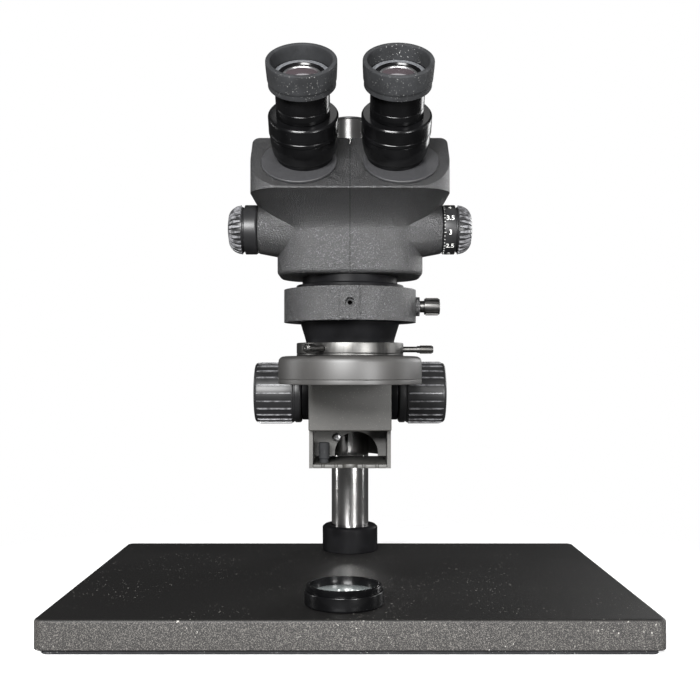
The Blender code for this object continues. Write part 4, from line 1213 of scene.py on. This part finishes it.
def lens_outline(radius, low, high, sagitta, steps=8):
    """A doubly curved lens between two heights."""
    bowl = (radius ** 2 + sagitta ** 2) / (2 * sagitta)

    def rise(reach):
        return (bowl ** 2 - reach ** 2) ** 0.5 - (bowl - sagitta)

    below = [(radius * k / steps, low + sagitta - rise(radius * k / steps)) for k in range(steps + 1)]
    above = [(radius * k / steps, high - sagitta + rise(radius * k / steps))
             for k in range(steps, -1, -1)]
    return below + above


def make_zoom_knobs(detail):
    for word, side in SIDES:
        node = "zoom_knob_" + word
        along = place_on("zoom_turn", side)
        knob = measured(node, along)
        start, end, radius = knob.low, knob.high, knob.radius
        collar_end = start + 0.0088
        skin = radius - 0.0013
        dome_start = collar_end + 0.0008

        def dome(share, less=0.0):
            turn = share * pi / 2
            return ((skin - less) * cos(turn) ** 0.6,
                    dome_start + (end - 0.0002 - less - dome_start) * sin(turn) ** 0.95)

        profile = [dome(k / 10) for k in range(1, 9)]
        cap = profile[-1][0]
        turned = lathe(node + "_turned", [
            (0.0028, start), (radius - 0.0012, start, 0.0003), (radius, start + 0.0010, 0.0004),
            (radius, collar_end - 0.0003, 0.0003), (skin - 0.0006, collar_end, 0.0002),
            (skin - 0.0006, dome_start - 0.0002, 0.0002), (skin, dome_start + 0.0004), *profile,
            (cap - 0.0006, end - 0.0003, 0.0004), (0, end - 0.0004),
            (0, end - 0.009), (0.0028, end - 0.009)], along, "knob_plastic")
        crest = [(r + 0.0012, h + 0.0004 * k / 8) for k, (r, h) in enumerate(profile[:-1])]
        ridge = axial_ridge([(skin - 0.0012, dome_start + 0.0008), (radius, dome_start + 0.0012),
                             *crest, (profile[-1][0] - 0.0002, profile[-1][1] - 0.0002),
                             (profile[-2][0] - 0.0016, profile[-2][1] - 0.0012)], 0.0017)
        grip = ringed(node + "_grip", ridge, detail.zoom_ribs, along, "worn_crest")
        keep(joined(node + "_skin", [turned, grip]), "zoom", "black_plastic", node)
        if side > 0:
            make_dial(word, along, radius, start + 0.0018)


def bent_onto(piece, along, radius, angle, sink=0.00005):
    """Wraps a flat mesh (X round the barrel, Y along it, Z outward) onto a barrel at an angle."""
    for vertex in piece.data.vertices:
        vertex.co.x += angle * radius
        x, y, z = vertex.co
        turn = x / radius
        reach = radius - sink + z
        vertex.co = along @ Vector((reach * cos(turn), reach * sin(turn), y))
    return piece


def flat_number(text, size, relief=0.00008):
    """A number as a thin mesh, centred, reading along +X with its head towards +Y."""
    curve = bpy.data.curves.new("number", 'FONT')
    curve.body = text
    curve.size = size
    curve.extrude = relief
    curve.resolution_u = 3
    curve.align_x = 'CENTER'
    curve.align_y = 'CENTER'
    letters = linked("number", curve)
    bpy.context.view_layer.update()
    evaluated = letters.evaluated_get(bpy.context.evaluated_depsgraph_get())
    mesh = bpy.data.meshes.new_from_object(evaluated)
    bpy.data.objects.remove(letters, do_unlink=True)
    mesh.transform(Matrix.Translation((0, 0, relief)))
    piece = linked("number", mesh)
    repaint(piece, "marks")
    return piece


def make_dial(word, along, radius, foot):
    """Numbers and ticks of the magnification scale round a zoom knob's collar."""
    values = ("0.7", "1", "1.5", "2", "2.5", "3", "3.5", "4", "4.5")
    in_front = 5.4            # the value, counted from the first, that faces the user
    number_size, number_rise = 0.0046, 0.0028
    ticks, tick_foot, tick_half, tick_height = 4, 0.0012, 0.00012, 0.00015
    long_tick, short_tick = 0.0011, 0.0006
    spread = radians(270) / (len(values) - 1)
    probe = along.inverted().to_3x3() @ Vector((0, -1, 0))
    from_front = atan2(probe.y, probe.x)
    upwards = Matrix.Translation((0, foot + number_rise, 0)) @ Matrix.Rotation(pi / 2, 4, 'Z')
    pieces = []
    for k, value in enumerate(values):
        number = flat_number(value, number_size)
        number.data.transform(upwards)
        pieces.append(bent_onto(number, along, radius, from_front - (k - in_front) * spread))
    for k in range(ticks * (len(values) - 1) + 1):
        length = short_tick if k % ticks else long_tick
        tick = block("tick", (-tick_half, foot - tick_foot, 0),
                     (tick_half, foot - tick_foot + length, tick_height), "marks")
        pieces.append(bent_onto(tick, along, radius, from_front - (k / ticks - in_front) * spread))
    keep(joined("zoom_dial_" + word, pieces), "zoom", "black_plastic")


# ======================================================================================
# Eye tubes
# ======================================================================================
def make_eye_tubes(detail):
    for word, side in SIDES:
        make_eye_tube(word)


def make_eye_tube(word):
    """A turret, the tube on it, its diopter ring, and the eyepiece with its lens and cup."""
    swing = place_on(word + "_eye_swing")
    disc = measured(word + "_turret", swing)
    boss = 0.0220
    turret = lathe(word + "_turret_skin", [
        (0, disc.low), (boss, disc.low), (boss, GAP), (disc.radius, GAP, 0.0003),
        (disc.radius, disc.high, 0.0007), (0, disc.high)], swing, "turret_satin", 144)
    keep(turret, word + "_eye", "black_anodised", word + "_turret")

    along = place_on(word + "_diopter_turn")
    sleeve = measured(word + "_eye_tube", along)
    foot, foot_radius = disc.high + GAP, 0.0182
    ring = measured(word + "_diopter_ring", along)
    ring_start, ring_end, radius = 0.020, ring.high, ring.radius
    tube = lathe(word + "_eye_tube_skin", [
        (sleeve.bore, sleeve.low), (sleeve.bore + 0.0010, sleeve.low), (sleeve.bore + 0.0010, foot),
        (foot_radius, foot), (foot_radius, foot + 0.0020, 0.0006),
        (foot_radius + 0.0020, foot + 0.0042, 0.0016), (radius - 0.0005, ring_start - 0.0062, 0.0030),
        (radius - 0.0005, ring_start - GAP, 0.0003), (radius - 0.0040, ring_start - GAP),
        (radius - 0.0040, ring_end - 0.0025), (sleeve.bore, ring_end - 0.0025)],
        along, "gloss_black", 128)
    keep(tube, word + "_eye", "black_anodised", word + "_eye_tube")

    collar = lathe(word + "_diopter_ring_skin", [
        (radius - 0.0036, ring_start), (radius, ring_start, 0.0004),
        (radius, ring_start + 0.0022, 0.0002), (radius - 0.0004, ring_start + 0.0026, 0.0001),
        (radius, ring_start + 0.0030, 0.0002), (radius, ring_end - 0.0012, 0.0004),
        (radius - 0.0010, ring_end, 0.0003), (sleeve.bore, ring_end),
        (sleeve.bore, ring_end - 0.0022), (radius - 0.0036, ring_end - 0.0022)],
        along, "gloss_black", 128)
    keep(collar, word + "_diopter", "black_anodised", word + "_diopter_ring")

    body = word + "_ocular"
    piece = measured(word + "_eyepiece", along)
    cup = measured(word + "_eyecup", along)
    plug, barrel, seat = 0.0149, 0.01675, 0.0108
    cup_start, head, head_end = cup.low - GAP, piece.radius, piece.high
    eyepiece = lathe(word + "_eyepiece_turned", [
        (piece.bore, piece.low), (plug, piece.low), (plug, ring_end + GAP),
        (barrel, ring_end + GAP, 0.0005), (barrel, ring_end + 0.0062, 0.0002),
        (barrel - 0.0003, ring_end + 0.0065), (barrel, ring_end + 0.0068, 0.0002),
        (barrel, cup_start), (head, cup_start), (head, head_end, 0.0004),
        (seat + 0.0034, head_end, 0.0002), (seat + 0.0024, head_end - 0.0012, 0.0002),
        (seat, head_end - 0.0012), (seat, head_end - 0.0040), (piece.bore, head_end - 0.0040)],
        along, "gloss_black", 112)
    plate = lathe(word + "_eyepiece_plate", [
        (seat + 0.0036, head_end - 0.0003), (head - 0.0008, head_end - 0.0003),
        (head - 0.0010, head_end + 0.00015, 0.0001), (seat + 0.0038, head_end + 0.00015, 0.0001)],
        along, "cup_dust", 96)
    retainer = lathe(word + "_eyepiece_retainer", [
        (seat - 0.0004, head_end - 0.0016), (seat + 0.0012, head_end - 0.0016),
        (seat + 0.0012, head_end - 0.0008, 0.0002), (seat - 0.0002, head_end - 0.0008, 0.0002)],
        along, "aluminium", 96)
    keep(joined(word + "_eyepiece_skin", [eyepiece, plate, retainer]), body, "black_anodised",
         word + "_eyepiece")

    eye = measured(word + "_eye_lens", along)
    glass = lathe(word + "_eye_lens_skin", lens_outline(eye.radius, eye.low, eye.high, 0.001),
                  along, "glass", 96)
    keep(glass, body, "glass", word + "_eye_lens")

    wall = 0.003
    rubber = lathe(word + "_eyecup_skin", [
        (cup.radius - wall, cup.low), (cup.radius - 0.0008, cup.low, 0.0004),
        (cup.radius - 0.0009, cup.low + 0.0030, 0.0004), (cup.radius - 0.0004, cup.low + 0.0045, 0.0006),
        (cup.radius, cup.high - 0.0040, 0.0010), (cup.radius, cup.high, 0.0011),
        (cup.radius - wall + 0.0002, cup.high, 0.0009), (cup.radius - wall, cup.high - 0.0030, 0.0006),
        (cup.radius - wall, cup.low + 0.0100)], along, "rubber", 128)
    keep(rubber, body, "rubber", word + "_eyecup")


# ======================================================================================
# Ring light and loose lens
# ======================================================================================
def make_ring_light(detail):
    axis = head_axis()
    lamp = measured("light_housing", axis)
    wall = 0.002
    housing = lathe("light_housing_skin", [
        (lamp.bore, lamp.low, 0.0004), (lamp.bore + wall, lamp.low, 0.0004),
        (lamp.bore + wall, lamp.high - wall), (lamp.radius - wall, lamp.high - wall),
        (lamp.radius - wall, lamp.low, 0.0004), (lamp.radius, lamp.low, 0.0006),
        (lamp.radius, lamp.low + 0.0030, 0.0001), (lamp.radius - 0.0003, lamp.low + 0.0033, 0.0001),
        (lamp.radius, lamp.low + 0.0036, 0.0001), (lamp.radius, lamp.high, 0.0046),
        (lamp.bore, lamp.high, 0.0006)], axis, "lamp_plastic", 160)
    keep(housing, "ring_light", "black_plastic", "light_housing")
    cover = measured("light_diffuser", axis)
    diffuser = lathe("light_diffuser_turned", [
        (cover.bore, cover.low, 0.0004), (cover.radius, cover.low, 0.0004),
        (cover.radius, cover.high), (cover.bore, cover.high)], axis, "frosted", 128)
    middle = (cover.bore + cover.radius) / 2
    bead_radius = 0.0017
    bead = lathe("bead", [(0, cover.low - 0.0006), (0.0010, cover.low - 0.0005, 0.0004),
                          (bead_radius, cover.low, 0.0002), (bead_radius, cover.low + 0.0004),
                          (0, cover.low + 0.0004)], upright(middle, 0), None, 16)
    beads = ringed("light_points", bead, detail.lamps, upright(0, axis.translation.y), "phosphor")
    keep(joined("light_diffuser_skin", [diffuser, beads]), "ring_light", "diffuser", "light_diffuser")

    sleeve = measured("light_adapter", axis)
    shoulder, spigot, screw_way = lamp.high + GAP, 0.0330, 0.0024
    adapter = lathe("light_adapter_skin", [
        (sleeve.bore, sleeve.low), (spigot, sleeve.low), (spigot, shoulder),
        (sleeve.radius, shoulder, 0.0003), (sleeve.radius, shoulder + 0.0010, 0.0002),
        (sleeve.radius - 0.0004, shoulder + 0.0013, 0.0001),
        (sleeve.radius, shoulder + 0.0016, 0.0002), (sleeve.radius, sleeve.high, 0.0007),
        (sleeve.bore + 0.0008, sleeve.high, 0.0003), (sleeve.bore, sleeve.high - 0.0008)],
        axis, "satin_chrome", 160)
    cut(adapter, *[rod("way", screw_way, 0.0300, 0.0400, light_screw_place(number), 24)
                   for number in LIGHT_SCREWS])
    keep(adapter, "ring_light", "chrome", "light_adapter")


def make_light_screws(detail):
    for number in LIGHT_SCREWS:
        node = "light_screw_%d" % number
        along = light_screw_place(number)
        head_start = measured(node, along).high - 0.010
        thumb_screw(node, along, "light_clamp_%d" % number,
                    (head_start - 0.0012, head_start, 0.0024), head_start, detail)


def make_loose_lens(detail):
    axis = box_axis("aux_lens_ring")
    ring = measured("aux_lens_ring", axis)
    shoulder = ring.low + 0.0097
    thread = ring.radius - 0.0013
    pitch = (ring.high - shoulder - 0.0006) / detail.threads
    grooves = []
    for k in range(detail.threads):
        height = shoulder + 0.0002 + k * pitch
        grooves += [(thread - 0.00035, height), (thread, height + 0.35 * pitch),
                    (thread, height + 0.5 * pitch)]
    skin = lathe("aux_lens_ring_skin", [
        (ring.bore, ring.low), (ring.radius - 0.0008, ring.low, 0.0003),
        (ring.radius, ring.low + 0.0010, 0.0004), (ring.radius, shoulder, 0.0009),
        (thread - 0.0004, shoulder, 0.0001), *grooves,
        (thread - 0.0004, ring.high - 0.0003, 0.0002), (ring.bore + 0.0015, ring.high, 0.0003),
        (ring.bore + 0.0015, ring.low + 0.003), (ring.bore, ring.low + 0.003)], axis, "gloss_black", 144)
    keep(skin, "aux_lens", "black_anodised", "aux_lens_ring")
    node = measured("aux_lens_glass", axis)
    glass = lathe("aux_lens_glass_skin", lens_outline(node.radius, node.low, node.high, 0.0015),
                  axis, "pale_glass", 96)
    keep(glass, "aux_lens", "glass", "aux_lens_glass")


# ======================================================================================
# Hidden and carried-over parts
# ======================================================================================
INNER_FINISHES = {
    "column_bolt": "steel", "column_bush": "brass", "guide_rail_left": "steel",
    "guide_rail_right": "steel", "slide_way": "aluminium", "focus_rack": "steel",
    "focus_shaft": "steel", "zoom_shaft": "steel", "guide_rod_left": "steel",
    "guide_rod_right": "steel", "zoom_carrier": "aluminium", "zoom_lens_left": "glass",
    "zoom_lens_right": "glass", "left_prism": "glass", "right_prism": "glass",
}


def make_inner_parts(detail):
    for node, finish in INNER_FINISHES.items():
        repaint(NODES[node], finish)


# ======================================================================================
# Stage
# ======================================================================================
LIGHT_TARGET = (0, -0.02, 0.2)
LIGHTS = {                # place, width and height, and share of the key light's power
    "key_light": ((-0.28, -1.30, 0.58), (0.60, 0.36), 1.0),
    "fill_light": ((0.70, -1.20, 0.22), (0.30, 0.30), 0.34),
    "top_light": ((0.10, 0.10, 1.5), (0.5, 0.35), 0.02),
    "back_light": ((1.10, 0.95, 0.55), (0.7, 0.5), 0.14),
    "left_light": ((-1.15, 0.10, 0.40), (0.16, 0.8), 0.10),
    "right_light": ((1.15, 0.10, 0.42), (0.14, 0.8), 0.10),
}
FLOOR_HALF, FLOOR_DROP = 1.6, 0.0004
FLOOR_GLOW = (0.16, 0.34)       # from the origin out, where the floor grows brighter
FLOOR_FADE = (0.25, 0.44)       # and where it fades away
WORLD_STRENGTH = 0.05           # to every ray but the camera's
CAMERA_RISE, CAMERA_NEAR = 0.0257, 0.01


def studio_floor(colour):
    """A pale sheet that fades into the surrounding white, and stays dim in reflections."""
    bm = bmesh.new()
    bmesh.ops.create_grid(bm, x_segments=24, y_segments=24, size=FLOOR_HALF)
    for vertex in bm.verts:
        vertex.co.z = -FLOOR_DROP
    mesh = mesh_from(bm, "studio_floor")
    paper = Finish("studio_paper", Roughness=0.9)
    grain = paper.noise(3, 2.0)
    where = paper.place()
    reach = paper.node("ShaderNodeVectorMath", {"operation": 'LENGTH'}, where, output=1)
    glow = paper.ramp(reach, *FLOOR_GLOW)
    seen = paper.node("ShaderNodeLightPath", {})
    dim = (0.10, 0.10, 0.10)
    bright = paper.blend(glow, (0.22, 0.22, 0.22), (0.50, 0.50, 0.50))
    paper.set(Base_Color=paper.blend(seen, dim, paper.blend(grain, shade(colour, 0.99), colour)),
              Emission_Color=paper.blend(seen, shade(dim, 0.2), bright),
              Emission_Strength=1.0, Alpha=1 - paper.ramp(reach, *FLOOR_FADE))
    mesh.materials.append(paper.material)
    linked("studio_floor", mesh)


def soft_light(name, place, size, power):
    light = bpy.data.lights.new(name, 'AREA')
    light.shape = 'RECTANGLE'
    light.size, light.size_y = size
    light.energy = power
    lamp = linked(name, light)
    lamp.location = place
    aim = Vector(LIGHT_TARGET) - Vector(place)
    lamp.rotation_euler = aim.to_track_quat('-Z', 'Y').to_euler()


def white_world():
    """White to the camera, and nearly dark to every other ray."""
    world = bpy.data.worlds.new("studio")
    world.use_nodes = True
    tree = world.node_tree
    studio = tree.nodes["Background"]
    studio.inputs["Color"].default_value = (1, 1, 1, 1)
    studio.inputs["Strength"].default_value = WORLD_STRENGTH
    backdrop = tree.nodes.new("ShaderNodeBackground")
    backdrop.inputs["Color"].default_value = (1, 1, 1, 1)
    rays = tree.nodes.new("ShaderNodeLightPath")
    either = tree.nodes.new("ShaderNodeMixShader")
    tree.links.new(rays.outputs["Is Camera Ray"], either.inputs["Fac"])
    tree.links.new(studio.outputs["Background"], either.inputs[1])
    tree.links.new(backdrop.outputs["Background"], either.inputs[2])
    tree.links.new(either.outputs["Shader"], tree.nodes["World Output"].inputs["Surface"])
    bpy.context.scene.world = world


def make_stage(stage):
    studio_floor(tuple(stage.floor))
    white_world()
    for name, (place, size, share) in LIGHTS.items():
        soft_light(name, place, size, stage.key * share)
    lens = bpy.data.cameras.new("camera")
    lens.lens = stage.lens
    lens.shift_y = CAMERA_RISE
    lens.clip_start = CAMERA_NEAR
    camera = linked("camera", lens)
    camera.location = (0, -stage.distance, stage.eye_height)
    camera.rotation_euler = (pi / 2, 0, 0)
    bpy.context.scene.camera = camera
    bpy.context.scene.view_settings.view_transform = 'Standard'


# ======================================================================================
# Operators
# ======================================================================================
class PieceOperator:
    """What every piece's operator shares: its makers build with the detail settings."""
    bl_options = {'REGISTER', 'UNDO'}

    def execute(self, context):
        for maker in self.makers:
            maker(context.scene.microscope_detail)
        return {'FINISHED'}


class MICROSCOPE_OT_finishes(bpy.types.Operator):
    """Make the paints, plastics, metals and glass"""
    bl_idname = "microscope.finishes"
    bl_label = "Finishes"

    def execute(self, context):
        group = context.scene.microscope_colours
        names = MicroscopeColours.__annotations__
        make_finishes(SimpleNamespace(**{name: tuple(getattr(group, name)) for name in names}))
        return {'FINISHED'}


class MICROSCOPE_OT_base(PieceOperator, bpy.types.Operator):
    """Make the base plate and its mat"""
    bl_idname = "microscope.base"
    bl_label = "Base"
    makers = (make_base,)


class MICROSCOPE_OT_column(PieceOperator, bpy.types.Operator):
    """Make the column, its collar and its cap"""
    bl_idname = "microscope.column"
    bl_label = "Column"
    makers = (make_column,)


class MICROSCOPE_OT_focus_body(PieceOperator, bpy.types.Operator):
    """Make the focus body with its floor, stops and flanges"""
    bl_idname = "microscope.focus_body"
    bl_label = "Focus body"
    makers = (make_focus_body, make_body_floor, make_stop_post, make_stop_screw, make_shaft_flanges)


class MICROSCOPE_OT_focus_knobs(PieceOperator, bpy.types.Operator):
    """Make the two focus knobs and the clamp knob"""
    bl_idname = "microscope.focus_knobs"
    bl_label = "Focus and clamp knobs"
    makers = (make_focus_knobs, make_clamp_knob)


class MICROSCOPE_OT_slider(PieceOperator, bpy.types.Operator):
    """Make the slider block, the holder ring and its thumb screw"""
    bl_idname = "microscope.slider"
    bl_label = "Slider and holder"
    makers = (make_slider, make_holder, make_holder_screw)


class MICROSCOPE_OT_head(PieceOperator, bpy.types.Operator):
    """Make the head's two shells, its neck and the objective cone"""
    bl_idname = "microscope.head"
    bl_label = "Head"
    makers = (make_head_shells, make_seam_lip, make_neck_and_cone)


class MICROSCOPE_OT_zoom_knobs(PieceOperator, bpy.types.Operator):
    """Make the two zoom knobs with their scale"""
    bl_idname = "microscope.zoom_knobs"
    bl_label = "Zoom knobs"
    makers = (make_zoom_knobs,)


class MICROSCOPE_OT_eye_tubes(PieceOperator, bpy.types.Operator):
    """Make the turrets, eye tubes, eyepieces and eyecups"""
    bl_idname = "microscope.eye_tubes"
    bl_label = "Eye tubes"
    makers = (make_eye_tubes,)


class MICROSCOPE_OT_ring_light(PieceOperator, bpy.types.Operator):
    """Make the ring light, its adapter and its thumb screws"""
    bl_idname = "microscope.ring_light"
    bl_label = "Ring light"
    makers = (make_ring_light, make_light_screws)


class MICROSCOPE_OT_loose_lens(PieceOperator, bpy.types.Operator):
    """Make the auxiliary lens that lies on the base"""
    bl_idname = "microscope.loose_lens"
    bl_label = "Loose lens"
    makers = (make_loose_lens,)


class MICROSCOPE_OT_inner_parts(PieceOperator, bpy.types.Operator):
    """Finish the shafts, rails, racks, prisms and lenses inside"""
    bl_idname = "microscope.inner_parts"
    bl_label = "Inner parts"
    makers = (make_inner_parts,)


class MICROSCOPE_OT_stage(bpy.types.Operator):
    """Make the pale floor, the soft lights and the camera"""
    bl_idname = "microscope.stage"
    bl_label = "Stage"

    def execute(self, context):
        make_stage(context.scene.microscope_stage)
        return {'FINISHED'}


STEPS = (MICROSCOPE_OT_finishes, MICROSCOPE_OT_stage, MICROSCOPE_OT_base, MICROSCOPE_OT_column,
         MICROSCOPE_OT_focus_body, MICROSCOPE_OT_focus_knobs, MICROSCOPE_OT_slider,
         MICROSCOPE_OT_head, MICROSCOPE_OT_zoom_knobs, MICROSCOPE_OT_eye_tubes,
         MICROSCOPE_OT_ring_light, MICROSCOPE_OT_loose_lens, MICROSCOPE_OT_inner_parts)
GROUPS = {"microscope_colours": MicroscopeColours, "microscope_detail": MicroscopeDetail,
          "microscope_stage": MicroscopeStage}


class MICROSCOPE_PT_looks(bpy.types.Panel):
    """The microscope's settings and the operators that make its pieces"""
    bl_idname = "MICROSCOPE_PT_looks"
    bl_label = "Stereo microscope"
    bl_space_type = 'VIEW_3D'
    bl_region_type = 'UI'
    bl_category = "Microscope"

    def draw(self, context):
        for name, group in GROUPS.items():
            box = self.layout.box()
            for field in group.__annotations__:
                box.prop(getattr(context.scene, name), field)
        for step in STEPS:
            self.layout.operator(step.bl_idname)


def register():
    for kind in (*GROUPS.values(), *STEPS, MICROSCOPE_PT_looks):
        bpy.utils.register_class(kind)
    for name, group in GROUPS.items():
        setattr(bpy.types.Scene, name, bpy.props.PointerProperty(type=group))


def unregister():
    for name in GROUPS:
        delattr(bpy.types.Scene, name)
    for kind in reversed((*GROUPS.values(), *STEPS, MICROSCOPE_PT_looks)):
        bpy.utils.unregister_class(kind)


def main():
    register()
    for step in STEPS:
        group, name = step.bl_idname.split(".")
        getattr(getattr(bpy.ops, group), name)()


if __name__ == "__main__":
    main()
